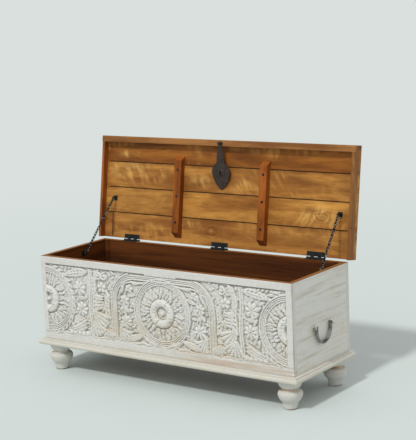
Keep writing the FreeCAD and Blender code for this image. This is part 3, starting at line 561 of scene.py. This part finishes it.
# the cusped arch, of four fine mouldings, and the waved upright beyond each plume column
ARCH_HALF, ARCH_CORNER, ARCH_TOP, ARCH_WIDTH = 232.0, 112.0, 294.0, 27.0
UPRIGHTS = (-328.0, 348.0)
corner_u = np.abs(U - ARCH_X) - ARCH_HALF + ARCH_CORNER
corner_v = V - ARCH_TOP + ARCH_CORNER
arch = np.hypot(np.maximum(corner_u, 0), np.maximum(corner_v, 0)) \
    + np.minimum(np.maximum(corner_u, corner_v), 0) - ARCH_CORNER
from_centre = np.hypot(U - ARCH_X, V - CENTRE_Z)
carved[(arch > -ARCH_WIDTH) & (arch < 4) & (from_centre > ROSETTE_REACH)] = GROUND + 1.2
for offset, half, top in ((0, 3.6, 0.3), (-7.5, 2.8, -0.8), (-14, 2.8, -0.8), (-21, 3.4, 0.0)):
    line(arch - offset, half, top)
cusp = np.abs(np.sin(6 * np.arctan2(V - CENTRE_Z, U - ARCH_X)))
spandrel = (V > 190) & (from_centre > ROSETTE_REACH + 1)
line(np.where(spandrel, arch + ARCH_WIDTH + 7 * cusp, 99), 3.4, 0.2)
for x in UPRIGHTS:
    waved = U - x - 3.5 * np.sin(V / 30.0)
    line(waved, 4.6, -1.0)
    line(waved - 9.0, 3.2, -1.8)


# sprigs of flowers between the rosette and the arch's legs, over palmettes along the foot of the field
def sprig(x, way):
    stem = [(20, 60), (2, 120), (14, 180), (-4, 236)]
    cord(sweep([(x + way * dx, z) for dx, z in stem], 16), 3.4, -0.4)
    for dx, z, radius, petals, turn in ((4, 110, 26, 8, 11), (8, 190, 21, 6, 20), (-16, 236, 17, 5, 0)):
        flower(x + way * dx, z, radius, petals, turn)
    for dx, z, turn, length in (
            (18, 62, 150, 50), (24, 66, 60, 34), (26, 148, 110, 30), (-8, 146, 40, 28), (-14, 206, 150, 30),
            (22, 214, 100, 32), (10, 234, 50, 26), (-30, 256, 165, 34), (-10, 150, 150, 22),
            (26, 84, 100, 28)):
        leaf(x + way * dx, z, mirror(turn, way), length, 14, 0.0, 0.3 * way, 4)
    for dx, z in ((-22, 92), (32, 136), (-20, 168), (34, 172), (-30, 214), (20, 250), (34, 196), (-12, 84)):
        berry(x + way * dx, z, 5.5, 2.2)
    shell(x + way * 36, 88, 62, 196, 270, 5, way)
    leaf(x + way * 6, 44, mirror(170, way), 92, 26, 0.2, -0.1 * way, veins=1.5)
    leaf(ARCH_X + way * 20, 36, mirror(12, way), 80, 22, 0.0, 0.15 * way, veins=1)


# plume columns: two ribbed stems each, volutes above and shells below
def plume_column(inner, outer, way):
    middle = (inner + outer) / 2
    scroll(middle - way * 18, 268, 90, -1.2 * way, 15, 4, 4.6)
    scroll(middle + way * 12, 268, 90, 1.2 * way, 15, 4, 4.6)
    tall = [(2, 120), (8, 180), (4, 236), (20, 284)]
    short = [(4, 110), (8, 160), (4, 200)]
    plume([(outer - way * dx, z) for dx, z in tall], way, 36, 22, 12, 12)
    plume([(inner + way * dx, z) for dx, z in short], -way, 32, 26, 11, 8)
    for k in range(5):
        leaf(outer - way * 12, 198 - 13 * k, mirror(204 - 4 * k, way), 46, 11, 0.2, -0.3 * way)
    flower(middle - way * 8, 152, 17, 6, 30)
    flower(middle - way * 4, 226, 21, 5, 90)
    fan(middle + way * 12, 198, 24, 200, 340, 5)
    shell(outer - way * 2, 136, 86, 190, 262, 5, way)
    shell(outer - way * 6, 98, 66, 206, 300, 6, way)
    shell(inner + way * 8, 74, 40, 215, 345, 6, way)
    for k in range(3):
        berry(middle + way * (15 * k - 6), 60 + 4 * k, 4.5, 2.0, 0.6)


# beyond the uprights: a lying palmette, two flowers, and leaves that follow the half rosette
def end_panel(x, way):
    leaf(x - way * 4, 278, mirror(-4, way), 128, 34, 0.5, -0.12 * way, 8, 1.5)
    for k in range(6):
        leaf(x + way * (26 + 17 * k), 284, mirror(38, way), 22, 10, 0.1, 0.2 * way)
    flower(x + way * 36, 212, 30, 7, 15)
    flower(x + way * 28, 134, 28, 8, 5)
    fan(x + way * 30, 186, 20, 200, 340, 5)
    for k in range(15):
        turn = 106 + 10.6 * k
        a = math.radians(turn)
        root_x, root_z = way * (545 + 128 * math.cos(a)), CENTRE_Z + 128 * math.sin(a)
        leaf(root_x, root_z, mirror(turn + 50, way), 30, 12, -0.2, 0.3 * way, 3)
    for k in range(3):
        leaf(x + way * 4, 96 - 14 * k, mirror(-38 + 4 * k, way), 98, 15, 0.1, 0.22 * way, veins=1)
    for k in range(5):
        dot(x + way * (6 + 20 * k), 40 - 2 * (k % 2), 12.5, 0.2)


for way, upright in zip((-1, 1), UPRIGHTS):
    sprig(ARCH_X + way * 163, way)
    plume_column(ARCH_X + way * 238, upright - way * 10, way)
    end_panel(upright + way * 14, way)

# the lower band, cut back under a wavy edge, the gap under the top band, the bored holes and the tool marks
BAND_TOP, BAND_DROP = 60.0, 2.6
lower_edge = 31 + 2.6 * np.sin(U / 9.0 + 2.0 * np.sin(U / 90.0)) + 3.6 * np.sin(U / 31.0 + 1.0)
wave = np.clip((V - lower_edge) / (8.0 + 5.0 * np.sin(U / 47.0) ** 2), 0, 1)
hem = np.where((V > lower_edge) & (wave < 1), GROUND + 5.0 * dome(2 * wave - 1), GROUND)
carved = np.maximum(carved, hem)
gap = (V > FIELD_TOP - 5.0) & (np.sin(U / 74.0 + 1.3) > -0.55) & (np.abs(U - ARCH_X) > 70)
carved[gap] = np.minimum(carved[gap], GROUND + 0.6)
for x, z, radius in holes:
    place = window(x, z, radius + 2)
    carved[place] = np.where(np.hypot(U[place] - x, V[place] - z) < radius, GROUND, carved[place])
tooth = rng.normal(0.0, 1.0, U.shape)
for _ in range(3):
    tooth = (tooth + np.roll(tooth, 1, 0) + np.roll(tooth, -1, 0)
             + np.roll(tooth, 1, 1) + np.roll(tooth, -1, 1)) / 5
between = (U > FIELD_LEFT) & (U < FIELD_RIGHT)
field = between & (V > lower_edge) & (V < FIELD_TOP)
carved = np.where(field, carved + TOOTH_DEPTH * tooth, np.where(V < BAND_TOP, -BAND_DROP, 0.0))
stile_foot = np.minimum(0.0, -BAND_DROP + BAND_DROP * np.clip((V - 24) / 8, 0, 1))
carved = np.where(~between & (V < BAND_TOP), stile_foot, carved)
rim = np.minimum(np.minimum(BOARD_HALF - np.abs(U), V), BOARD_HEIGHT - V)
carved = carved - np.where(rim < 0.5, 1.1, 0.0)

# how far each point lies below or above its surroundings, for the dirt and painted shade of the hollows and
# for the painted highlight and tan on the heights
soft = carved.copy()
for _ in range(14):
    padded = np.pad(soft, 1, mode="edge")
    soft = (padded[1:-1, 1:-1] * 2 + padded[:-2, 1:-1] + padded[2:, 1:-1]
            + padded[1:-1, :-2] + padded[1:-1, 2:]) / 6
worked = (U > FIELD_LEFT - 2) & (U < FIELD_RIGHT + 2) & (V > 18) & (V < FIELD_TOP + 2.5)
hollow = np.maximum(np.clip((soft - carved) / 1.8, 0, 1), eye_shadow) * worked
proud = np.clip((carved - soft) / 1.8, 0, 1) * worked

rows, columns = U.shape
front = np.stack([U, FACE_Y - carved, FOOT_Z + V], -1).reshape(-1, 3)
number = np.arange(rows * columns).reshape(rows, columns)
quads = np.stack([number[:-1, :-1], number[:-1, 1:], number[1:, 1:], number[1:, :-1]], -1).reshape(-1, 4)
edge = np.concatenate([number[0, :-1], number[:-1, -1], number[-1, :0:-1], number[:0:-1, 0]])
rear = front[edge].copy()
rear[:, 1] = REAR_Y
back = len(front) + np.arange(len(edge))
ahead = np.roll(np.arange(len(edge)), -1)
sides = np.stack([edge[ahead], edge, back, back[ahead]], -1)
hub = len(front) + len(edge)
points = np.vstack([front, rear, [[0.0, REAR_Y, FOOT_Z + BOARD_HEIGHT / 2]]])
cap = [(hub, int(back[n]), int(back[k])) for k, n in enumerate(ahead)]
carved_front = piece("carved_front", points.tolist(), quads.tolist() + sides.tolist() + cap)
mesh = carved_front.data
mesh.polygons.foreach_set("use_smooth", [k < len(quads) for k in range(len(mesh.polygons))])
for label, values in (("hollow", hollow), ("proud", proud)):
    layer = mesh.attributes.new(label, "FLOAT", "POINT")
    layer.data.foreach_set("value", np.concatenate([values.ravel(), np.zeros(len(edge) + 1)]))

ALONG_FRONT = (3.0, 26.0, 14.0)
HIGHLIGHT_WHITE, HIGH_TAN = srgb(234, 234, 230), srgb(206, 188, 152)
DIRT_SHADE_GREY, DIRT_SHADE_TAN, DEEP_SHADE = srgb(152, 147, 134), srgb(184, 162, 120), srgb(110, 102, 88)
BAND_WORN = srgb(188, 160, 130)
carved_wood, tree, shader, place = surface("carved_whitewash")
wash = use(tree, chalk, {"Vector": place, "Along": ALONG_FRONT, "Wear": -0.05, "Veins": 0.25})
axis = split(tree, place)
deep = put(tree, "ShaderNodeAttribute", attribute_name="hollow").outputs["Fac"]
high = put(tree, "ShaderNodeAttribute", attribute_name="proud").outputs["Fac"]
patchy = cloud(tree, place, 7.0, 4.0, 0.6)
low_down = fade(tree, axis["Z"], WALL_FOOT + 236.0 * MM, WALL_FOOT + 46.0 * MM)
darkened = fade(tree, calc(tree, "ADD", patchy, times(tree, low_down, 0.22)), 0.42, 0.68, 0.35, 1.0)
tanned = fade(tree, calc(tree, "ADD", patchy, times(tree, low_down, 0.16)), 0.56, 0.74)
# dirt and painted shade in the hollows, grey and tan, in patches that gather lower down
dirt_and_shade = blend(tree, fade(tree, cloud(tree, place, 5.5, 3.0), 0.47, 0.6), DIRT_SHADE_GREY, DIRT_SHADE_TAN)
# painted highlight: the raised parts whitened where the light catches them
colour = blend(tree, times(tree, high, 0.6), wash["Color"], HIGHLIGHT_WHITE)
colour = blend(tree, times(tree, times(tree, deep, darkened), 0.52), colour, dirt_and_shade)
# painted shade: the deepest hollows darkened further
colour = blend(tree, times(tree, fade(tree, deep, 0.55, 1.0), 0.5), colour, DEEP_SHADE)
colour = blend(tree, times(tree, times(tree, tanned, fade(tree, high, 0.15, 0.8)), 0.5), colour, HIGH_TAN)
band = fade(tree, axis["Z"], WALL_FOOT + 46.0 * MM, WALL_FOOT + 26.0 * MM)
band = times(tree, band, fade(tree, axis["X"], -150.0 * MM, 300.0 * MM))
worn = fade(tree, cloud(tree, stretch(tree, place, (2.5, 8.0, 60.0)), 1.0, 5.0, 0.6), 0.42, 0.6)
colour = blend(tree, times(tree, times(tree, band, worn), 0.6), colour, BAND_WORN)
colour = use(tree, wear, {"Vector": place, "Color": colour})["Color"]
colour = stained(tree, place, colour, ALONG_FRONT)
wood_coat(tree, shader, colour, wash, 0.18, 0.0005)
clothe(carved_front, carved_wood)
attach(carved_front, "base")
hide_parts("front_panel")


# Floor: three boards lying on the plinth's ledge.
# Dark brown stained wood with the grain along the chest.
floor_wood, tree, shader, place = surface("floor_stain")
stain = use(tree, grain, {"Vector": place, "Along": (1.0, 14.0, 14.0),
            "Light": srgb(104, 58, 22), "Dark": srgb(68, 34, 11)})
wood_coat(tree, shader, stain["Color"], stain, 0.2, 0.0005, DULL_SHINE)
dress(floor_wood, "floor_board_1", "floor_board_2", "floor_board_3")


# Lid planks: four boards side by side, the rear one pieced at its left end, on the lid's rails.
# Natural golden brown wood with flamed figure and knots, dark in the seams with painted shade beside them;
# each board has its own tone, with smoky patches and patches of painted shadow.
lid_hinge = next(joint for joint in frame["joints"] if joint["name"] == "lid_hinge")
PIN_Y, PIN_Z = (c / MM for c in lid_hinge["pos_m"][1:])
OPEN = math.radians(lid_hinge["range_deg"][1])
LID_BACK, LID_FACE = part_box("back_panel")[1][1] / MM, WALL_TOP / MM + 0.3
LID_DEPTH = 0.406
PLANK_STEP = LID_DEPTH / 4
SEAM_END_X, SEAM_INSET = OUTER_X - 9.0 * MM, 6.0 * MM
PATCH_X, NO_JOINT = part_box("lid_plank_1")[0][0], 9.0
FLAME_GOLD, GLEAM_GOLD = srgb(224, 168, 88), srgb(236, 186, 104)
CLOUD_BROWN, SMOKE_AND_SHADE_BROWN = srgb(112, 64, 22), srgb(108, 62, 24)
KNOT_RING, KNOT_CORE = srgb(112, 66, 28), srgb(196, 146, 84)
SEAM_SHADE, SEAM_DARK = srgb(110, 64, 26), srgb(46, 24, 9)


def swung(x, y, z):
    """Where a point of the shut lid stands with the lid open."""
    dy, dz = y - PIN_Y, z - PIN_Z
    return (x, PIN_Y + dy * math.cos(OPEN) + dz * math.sin(OPEN),
            PIN_Z - dy * math.sin(OPEN) + dz * math.cos(OPEN))


def on_lid(x, forward):
    """A point of the planks' inner face, counted forward from the rear edge."""
    return tuple(c * MM for c in swung(x, LID_BACK - forward, LID_FACE))


LID_RISE = (0.0, -math.cos(OPEN), math.sin(OPEN))
LID_START = Vector(on_lid(0, 0)).dot(LID_RISE)

knot, given, result = effect(
    "wood_knot", [("Vector", "Vector"), ("Centre", "Vector"), ("Size", "Float")],
    [("Core", "Float"), ("Rings", "Float")])
offset = vector_calc(knot, "SUBTRACT", given["Vector"], given["Centre"])
reach = put(knot, "ShaderNodeVectorMath", {0: stretch(knot, offset, (0.62, 1.0, 1.0))},
            operation="LENGTH").outputs["Value"]
warped = calc(knot, "ADD", calc(knot, "DIVIDE", reach, given["Size"]),
              times(knot, cloud(knot, given["Vector"], 45.0, 3.0, 0.6, 0.8), 1.3))
ripple = fade(knot, calc(knot, "SINE", times(knot, warped, 11.0)), -0.3, 1.0)
knot.links.new(fade(knot, warped, 1.0, 0.6), result["Core"])
knot.links.new(times(knot, fade(knot, warped, 2.4, 0.9), ripple), result["Rings"])

patch, given, result = effect(
    "wood_patch", [("Vector", "Vector"), ("Centre", "Vector"), ("Length", "Float"), ("Width", "Float")],
    [("Mask", "Float")])
apart = split(patch, vector_calc(patch, "SUBTRACT", given["Vector"], given["Centre"]))
off_x = calc(patch, "DIVIDE", apart["X"], given["Length"])
off_z = calc(patch, "DIVIDE", apart["Z"], given["Width"])
reach = calc(patch, "SQRT", calc(patch, "ADD", times(patch, off_x, off_x), times(patch, off_z, off_z)))
ragged = times(patch, cloud(patch, stretch(patch, given["Vector"], (9.0, 30.0, 30.0)), 1.0, 3.0), 1.4)
patch.links.new(fade(patch, calc(patch, "ADD", reach, ragged), 1.6, 0.6), result["Mask"])

flamed, given, result = effect(
    "flamed_figure", [("Vector", "Vector"), ("Curl", "Float")],
    [("Flame", "Float"), ("Spread", "Float"), ("Cloudy", "Float")])
curled = put(flamed, "ShaderNodeVectorRotate", {"Vector": given["Vector"], "Angle": given["Curl"]},
             rotation_type="Y_AXIS")
slanted = stretch(flamed, curled.outputs[0], (46.0, 6.0, 13.0))
wide = stretch(flamed, given["Vector"], (3.4, 9.0, 9.0))
drawn_out = stretch(flamed, given["Vector"], (2.6, 9.0, 9.0))
flamed.links.new(fade(flamed, cloud(flamed, slanted, 1.0, 2.0, 0.5), 0.4, 0.66), result["Flame"])
flamed.links.new(fade(flamed, cloud(flamed, wide, 1.0, 2.0), 0.46, 0.6), result["Spread"])
flamed.links.new(fade(flamed, cloud(flamed, drawn_out, 2.0, 4.0, 0.6), 0.5, 0.7), result["Cloudy"])

seams, given, result = effect(
    "lid_seams", [("Vector", "Vector"), ("Shifted", "Vector"), ("Joint", "Float"), ("Color", "Color")],
    [("Color", "Color")])
rise = vector_calc(seams, "DOT_PRODUCT", given["Vector"], LID_RISE, "Value")
forward = calc(seams, "SUBTRACT", rise, LID_START)
across = split(seams, given["Vector"])["X"]
to_joint = calc(seams, "ABSOLUTE", calc(seams, "SUBTRACT", across, given["Joint"]))
apart = calc(seams, "MINIMUM", calc(seams, "PINGPONG", forward, PLANK_STEP / 2), to_joint)
off_middle = calc(seams, "ABSOLUTE", calc(seams, "SUBTRACT", forward, LID_DEPTH / 2))
inside = times(seams, calc(seams, "LESS_THAN", calc(seams, "ABSOLUTE", across), SEAM_END_X),
               calc(seams, "LESS_THAN", off_middle, LID_DEPTH / 2 - SEAM_INSET))
# painted shade: each board darkened softly, in patches, towards its seams
darkened = fade(seams, cloud(seams, given["Shifted"], 14.0, 3.0), 0.35, 0.65, 0.1, 0.5)
darkened = times(seams, fade(seams, apart, 20.0 * MM, 0.0), darkened)
seam = times(seams, inside, fade(seams, apart, 2.8 * MM, 1.3 * MM))
colour = blend(seams, darkened, given["Color"], SEAM_SHADE)
seams.links.new(blend(seams, times(seams, seam, 0.95), colour, SEAM_DARK), result["Color"])


def lid_patch(tree, place, x, forward, length, width):
    return use(tree, patch, {"Vector": place, "Centre": on_lid(x, forward), "Length": length * MM,
               "Width": width * MM})["Mask"]


def plank_wood(name, shift, light, dark, curl, knots, bright, smoke_and_shade, joint_x):
    made, tree, shader, place = surface(name)
    moved = vector_calc(tree, "ADD", place, shift)
    wood = use(tree, grain, {"Vector": moved, "Along": (1.3, 9.0, 9.0), "Light": light, "Dark": dark})
    figure = use(tree, flamed, {"Vector": moved, "Curl": curl})
    flare = times(tree, figure["Flame"], figure["Spread"])
    colour = blend(tree, times(tree, flare, 0.4), wood["Color"], FLAME_GOLD)
    for x, forward, length, width, shine in bright:
        mask = lid_patch(tree, place, x, forward, length, width)
        gleam = fade(tree, figure["Flame"], 0.0, 1.0, 0.25 * shine, shine)
        colour = blend(tree, times(tree, mask, gleam), colour, GLEAM_GOLD)
    colour = blend(tree, times(tree, figure["Cloudy"], 0.5), colour, CLOUD_BROWN)
    # darker patches: smoky tone in some, painted shadow in others
    for x, forward, length, width in smoke_and_shade:
        mask = lid_patch(tree, place, x, forward, length, width)
        colour = blend(tree, times(tree, mask, 0.5), colour, SMOKE_AND_SHADE_BROWN)
    for x, forward, size in knots:
        rings = use(tree, knot, {"Vector": place, "Centre": on_lid(x, forward), "Size": size * MM})
        colour = blend(tree, times(tree, rings["Rings"], 0.7), colour, KNOT_RING)
        colour = blend(tree, times(tree, rings["Core"], 0.7), colour, KNOT_CORE)
    colour = use(tree, seams, {"Vector": place, "Shifted": moved, "Joint": joint_x, "Color": colour})["Color"]
    wood_coat(tree, shader, colour, wood, 0.12, 0.0004, DULL_SHINE)
    return made


# each board: shift of the grain, light and dark tone, slant of the figure, then its marks by place along and
# forward: knots with a size, bright patches with length, width and shine, darker ones with length and width
# (smoky tone in places, painted shadow at the boards' right ends, over part of the second board's left and
# under the front rail)
for name, shift, light, dark, curl, knots, bright, smoke_and_shade in (
        ("lid_plank_1", (0.3, 0.0, 0.1), srgb(206, 146, 70), srgb(150, 94, 40), 0.3,
         [(-40, 56, 24)],
         [(-140, 80, 120, 26, 0.56), (-330, 60, 120, 30, 0.2)],
         [(400, 50, 280, 70), (545, 50, 80, 100), (-400, 60, 120, 60)]),
        ("lid_plank_1_end", (4.1, 0.0, 0.6), srgb(192, 132, 62), srgb(146, 90, 38), 0.2,
         [], [], []),
        ("lid_plank_2", (1.7, 0.0, 0.2), srgb(214, 154, 72), srgb(158, 102, 42), -0.5,
         [(440, 146, 20), (-76, 152, 9)],
         [(430, 150, 160, 60, 0.9)],
         [(210, 128, 90, 22), (385, 172, 50, 16), (545, 152, 80, 100), (-430, 152, 360, 120)]),
        ("lid_plank_3", (2.9, 0.0, 0.5), srgb(202, 142, 66), srgb(140, 86, 34), 0.6,
         [],
         [(-450, 276, 200, 60, 0.8), (-110, 246, 110, 40, 0.56), (90, 250, 70, 40, 0.56)],
         [(380, 270, 180, 26), (545, 254, 80, 100)]),
        ("lid_plank_4", (5.2, 0.0, 0.3), srgb(164, 101, 36), srgb(116, 65, 19), 0.1,
         [],
         [(-480, 336, 100, 30, 0.8)],
         # painted shadow of the front rail, a thin dark band along the front board
         [(0, 386, 600, 12)])):
    joint_x = PATCH_X if name.startswith("lid_plank_1") else NO_JOINT
    dress(plank_wood(name + "_wood", shift, light, dark, curl, knots, bright, smoke_and_shade, joint_x), name)


# Lid rails: front and end rails under the planks' edges, dropping outside the walls.
# The same natural wood, with the grain along each rail and a knot in the right one.
RAIL_KNOT, RAIL_KNOT_SIZE = (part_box("lid_rail_right")[1][0], 0.157, 0.571), 14.0 * MM
ALONG_X_RAIL, ALONG_Z_RAIL = (1.4, 16.0, 16.0), (16.0, 16.0, 1.4)


def rail_wood(name, along, light, dark, knots=()):
    made, tree, shader, place = surface(name)
    wood = use(tree, grain, {"Vector": place, "Along": along, "Light": light, "Dark": dark})
    colour = wood["Color"]
    for centre, size in knots:
        rings = use(tree, knot, {"Vector": place, "Centre": centre, "Size": size})
        colour = blend(tree, times(tree, rings["Rings"], 0.6), colour, dark)
        colour = blend(tree, rings["Core"], colour, srgb(92, 50, 20))
    wood_coat(tree, shader, colour, wood, 0.15, 0.0004, DULL_SHINE)
    return made


dress(rail_wood("front_rail_wood", ALONG_X_RAIL, srgb(168, 116, 64), srgb(130, 82, 40)), "lid_rail_front")
dress(rail_wood("left_rail_wood", ALONG_Z_RAIL, srgb(182, 110, 52), srgb(136, 74, 30)), "lid_rail_left")
dress(rail_wood("right_rail_wood", ALONG_Z_RAIL, srgb(166, 116, 62), srgb(128, 82, 40),
                [(RAIL_KNOT, RAIL_KNOT_SIZE)]), "lid_rail_right")


# Battens: two cross pieces with bevelled ends, screwed to the planks' inner face.
# Redder wood than the planks, with the grain along the batten.
dress(rail_wood("batten_wood", (18.0, 18.0, 1.6), srgb(170, 95, 32), srgb(126, 65, 17)),
      "lid_batten_left", "lid_batten_right")


# Iron hinges, chains, plates and staple: three butt hinges in mortises, two link chains.
# Black lacquered iron, a little lighter where it is rubbed; the chains are worn bare in places.
black_iron, tree, shader, place = surface("black_iron_lacquer")
mottle = cloud(tree, place, 60.0, 4.0, 0.6)
colour = blend(tree, fade(tree, mottle, 0.35, 0.7), srgb(26, 29, 29), srgb(52, 55, 54))
coat(tree, shader, colour, fade(tree, mottle, 0.3, 0.7, 0.34, 0.52), relief(tree, mottle, 0.1, 0.0003))
shader["Metallic"].default_value = 0.6
dress(black_iron, *[n for n in nodes if n.startswith(("hinge_", "chain_plate")) or n == "hasp_staple"])

chain_iron, tree, shader, place = surface("chain_worn_iron")
bare = fade(tree, cloud(tree, place, 110.0, 3.0, 0.6), 0.5, 0.62)
colour = blend(tree, bare, srgb(24, 26, 27), srgb(158, 158, 154))
coat(tree, shader, colour, fade(tree, bare, 0.0, 1.0, 0.45, 0.3))
shader["Metallic"].default_value = 0.7
dress(chain_iron, *[n for n in nodes if n.startswith(("chain_lower", "chain_upper"))])


# Batten screws: three round-headed screws in cup washers through each batten into the planks.
# Black iron; one head is repeated over the points where the screws stand, turned to face out of the batten.
SCREW_FIRST, BATTEN_FACE, SCREW_RADIUS = 81.5, 24.0, 4.4

screw_tree = bpy.data.node_groups.new("screw_heads", "GeometryNodeTree")
for label, kind, way in (
        ("Places", "Geometry", "INPUT"), ("Head Radius", "Float", "INPUT"), ("Turn", "Vector", "INPUT"),
        ("Iron", "Material", "INPUT"), ("Screws", "Geometry", "OUTPUT")):
    screw_tree.interface.new_socket(label, in_out=way, socket_type="NodeSocket" + kind)
given = screw_tree.nodes.new("NodeGroupInput").outputs
wanted = screw_tree.nodes.new("NodeGroupOutput").inputs
wire = times(screw_tree, given["Head Radius"], 0.22)
rim_line = put(screw_tree, "GeometryNodeCurvePrimitiveCircle",
               {"Resolution": 14, "Radius": given["Head Radius"]})
rim_shape = put(screw_tree, "GeometryNodeCurvePrimitiveCircle", {"Resolution": 6, "Radius": wire})
washer = put(screw_tree, "GeometryNodeCurveToMesh",
             {"Curve": rim_line.outputs[0], "Profile Curve": rim_shape.outputs[0]})
round_head = put(screw_tree, "GeometryNodeMeshUVSphere",
                 {"Segments": 12, "Rings": 6, "Radius": given["Head Radius"]})
flat_head = put(screw_tree, "GeometryNodeTransform",
                {"Geometry": round_head.outputs["Mesh"], "Scale": (0.86, 0.86, 0.3)})
head = screw_tree.nodes.new("GeometryNodeJoinGeometry")
screw_tree.links.new(washer.outputs[0], head.inputs[0])
screw_tree.links.new(flat_head.outputs[0], head.inputs[0])
turned = put(screw_tree, "FunctionNodeEulerToRotation", {0: given["Turn"]})
spread = put(screw_tree, "GeometryNodeInstanceOnPoints",
             {"Points": given["Places"], "Instance": head.outputs[0], "Rotation": turned.outputs[0]})
whole = put(screw_tree, "GeometryNodeRealizeInstances", {0: spread.outputs[0]})
painted = put(screw_tree, "GeometryNodeSetMaterial",
              {"Geometry": whole.outputs[0], "Material": given["Iron"]})
screw_tree.links.new(painted.outputs[0], wanted["Screws"])


def screws(name, places, turn, radius):
    made = piece(name, places, [])
    rule = made.modifiers.new("screws", "NODES")
    rule.node_group = screw_tree
    values = {"Head Radius": radius * MM, "Turn": turn, "Iron": black_iron}
    for socket in screw_tree.interface.items_tree:
        if socket.in_out == "INPUT" and socket.name in values:
            rule[socket.identifier] = values[socket.name]
    graph = bpy.context.evaluated_depsgraph_get()
    plain = bpy.data.meshes.new_from_object(made.evaluated_get(graph))
    made.modifiers.clear()
    made.data = plain
    plain.name = name
    plain.shade_smooth()
    return made


screw_places = []
for end in ("left", "right"):
    batten_x = sum(corner[0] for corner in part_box(f"lid_batten_{end}")) / 2 / MM
    for k in range(3):
        y = LID_BACK - SCREW_FIRST - PLANK_STEP / MM * k
        screw_places.append(swung(batten_x, y, LID_FACE - BATTEN_FACE))
batten_screws = screws("batten_screws", screw_places, (math.pi - OPEN, 0.0, 0.0), SCREW_RADIUS)
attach(batten_screws, "lid")


# Hasp: a forged leaf of iron hanging from the staple on the front rail.
# Dark brown grey iron, hammered.
hasp_iron, tree, shader, place = surface("hasp_forged_iron")
mottle = cloud(tree, place, 90.0, 4.0, 0.6)
colour = blend(tree, fade(tree, mottle, 0.3, 0.7), srgb(46, 36, 33), srgb(70, 57, 51))
coat(tree, shader, colour, fade(tree, mottle, 0.3, 0.7, 0.5, 0.68), relief(tree, mottle, 0.3, 0.0006))
shader["Metallic"].default_value = 0.3
dress(hasp_iron, "hasp")


# Drop handles: a bail on each end panel, hung in two eyes.
# Iron brushed over with the same whitewash and rubbed dark where it is held.
BAIL_DARK, EYE_DARK = srgb(66, 67, 59), srgb(96, 92, 82)
BRUSHED = (20.0, 20.0, 20.0)
washed_iron, tree, shader, place = surface("whitewashed_iron")
wash = use(tree, chalk, {"Vector": place, "Along": BRUSHED, "Wear": 0.0})
rub = fade(tree, cloud(tree, place, 16.0, 3.0, 0.5), 0.4, 0.6, 0.74, 1.0)
colour = blend(tree, rub, wash["Color"], BAIL_DARK)
coat(tree, shader, colour, fade(tree, rub, 0.0, 1.0, 0.75, 0.5), relief(tree, wash["Height"], 0.3, 0.0005))
dress(washed_iron, "handle_left", "handle_right")

washed_eyes, tree, shader, place = surface("whitewashed_eyes")
wash = use(tree, chalk, {"Vector": place, "Along": BRUSHED, "Wear": 0.05})
rub = fade(tree, cloud(tree, place, 60.0, 3.0, 0.5), 0.5, 0.7)
colour = blend(tree, times(tree, rub, 0.6), wash["Color"], EYE_DARK)
coat(tree, shader, colour, wash["Roughness"], relief(tree, wash["Height"], 0.3, 0.0005))
dress(washed_eyes, "handle_eyes_left", "handle_eyes_right")


# Studio: a plain pale floor that runs far out to meet a background of its own tone, even light from all
# round, a sun from above the front for the shadows, and the camera at the photograph's viewing angle.
FLOOR_REACH, FLOOR_SIDES = 80.0, 96
FLOOR_DULL, FLOOR_BRIGHT, FLOOR_FAR = srgb(208, 219, 217), srgb(212, 222, 220), srgb(216, 224, 222)
SKY_LIGHT, SKY_SEEN = (0.64, 0.63, 0.634, 1.0), srgb(217, 224, 221)
SUN_WAY = Vector((0.0, 0.62, -0.785))
CAMERA_PLACE = (2.82308, -3.79685, 1.4217)
AZIMUTH, ELEVATION, ROLL = 0.6273, 0.1754, -0.0429
FOCAL_PIXELS, IMAGE_HEIGHT, SENSOR = 1305.6, 440.0, 36.0

ring = np.linspace(0.0, 2 * math.pi, FLOOR_SIDES, endpoint=False)
reach = FLOOR_REACH / MM
points = [(0.0, 0.0, 0.0)] + [(reach * math.cos(t), reach * math.sin(t), 0.0) for t in ring]
faces = [(0, 1 + k, 1 + (k + 1) % FLOOR_SIDES) for k in range(FLOOR_SIDES)]
studio_floor = piece("studio_floor", points, faces)
pale, tree, shader, place = surface("pale_floor")
far = put(tree, "ShaderNodeVectorMath", {0: place}, operation="LENGTH").outputs["Value"]
colour = blend(tree, cloud(tree, place, 3.0, 3.0), FLOOR_DULL, FLOOR_BRIGHT)
colour = blend(tree, fade(tree, far, 1.5, 6.0), colour, FLOOR_FAR)
tree.links.new(colour, shader["Base Color"])
shader["Roughness"].default_value = 0.6
shader["Specular IOR Level"].default_value = 0.0
clothe(studio_floor, pale)

world = bpy.data.worlds.new("studio")
bpy.context.scene.world = world
world.use_nodes = True
tree = world.node_tree
ray = tree.nodes.new("ShaderNodeLightPath").outputs
mirrored = calc(tree, "MAXIMUM", ray["Is Glossy Ray"], ray["Is Transmission Ray"])
seen = calc(tree, "MAXIMUM", ray["Is Camera Ray"], mirrored)
tree.links.new(blend(tree, seen, SKY_LIGHT, SKY_SEEN), tree.nodes["Background"].inputs["Color"])

key_light = bpy.data.lights.new("key_light", "SUN")
key_light.energy = 1.5
key_light.angle = 0.1
key_light.color = (1.0, 0.98, 0.95)
key = bpy.data.objects.new("key_light", key_light)
bpy.context.scene.collection.objects.link(key)
key.rotation_euler = SUN_WAY.to_track_quat("-Z", "Y").to_euler()

sight = Vector((-math.sin(AZIMUTH) * math.cos(ELEVATION), math.cos(AZIMUTH) * math.cos(ELEVATION),
                -math.sin(ELEVATION)))
level = sight.cross(Vector((0, 0, 1))).normalized()
upright = level.cross(sight)
across = math.cos(ROLL) * level + math.sin(ROLL) * upright
up = math.cos(ROLL) * upright - math.sin(ROLL) * level
camera_data = bpy.data.cameras.new("camera")
camera_data.sensor_width = SENSOR
camera_data.lens = FOCAL_PIXELS / IMAGE_HEIGHT * SENSOR
camera = bpy.data.objects.new("camera", camera_data)
bpy.context.scene.collection.objects.link(camera)
turned = Matrix((across, up, -sight)).transposed().to_4x4()
camera.matrix_world = Matrix.Translation(CAMERA_PLACE) @ turned
bpy.context.scene.camera = camera
bpy.context.scene.view_settings.view_transform = "Standard"
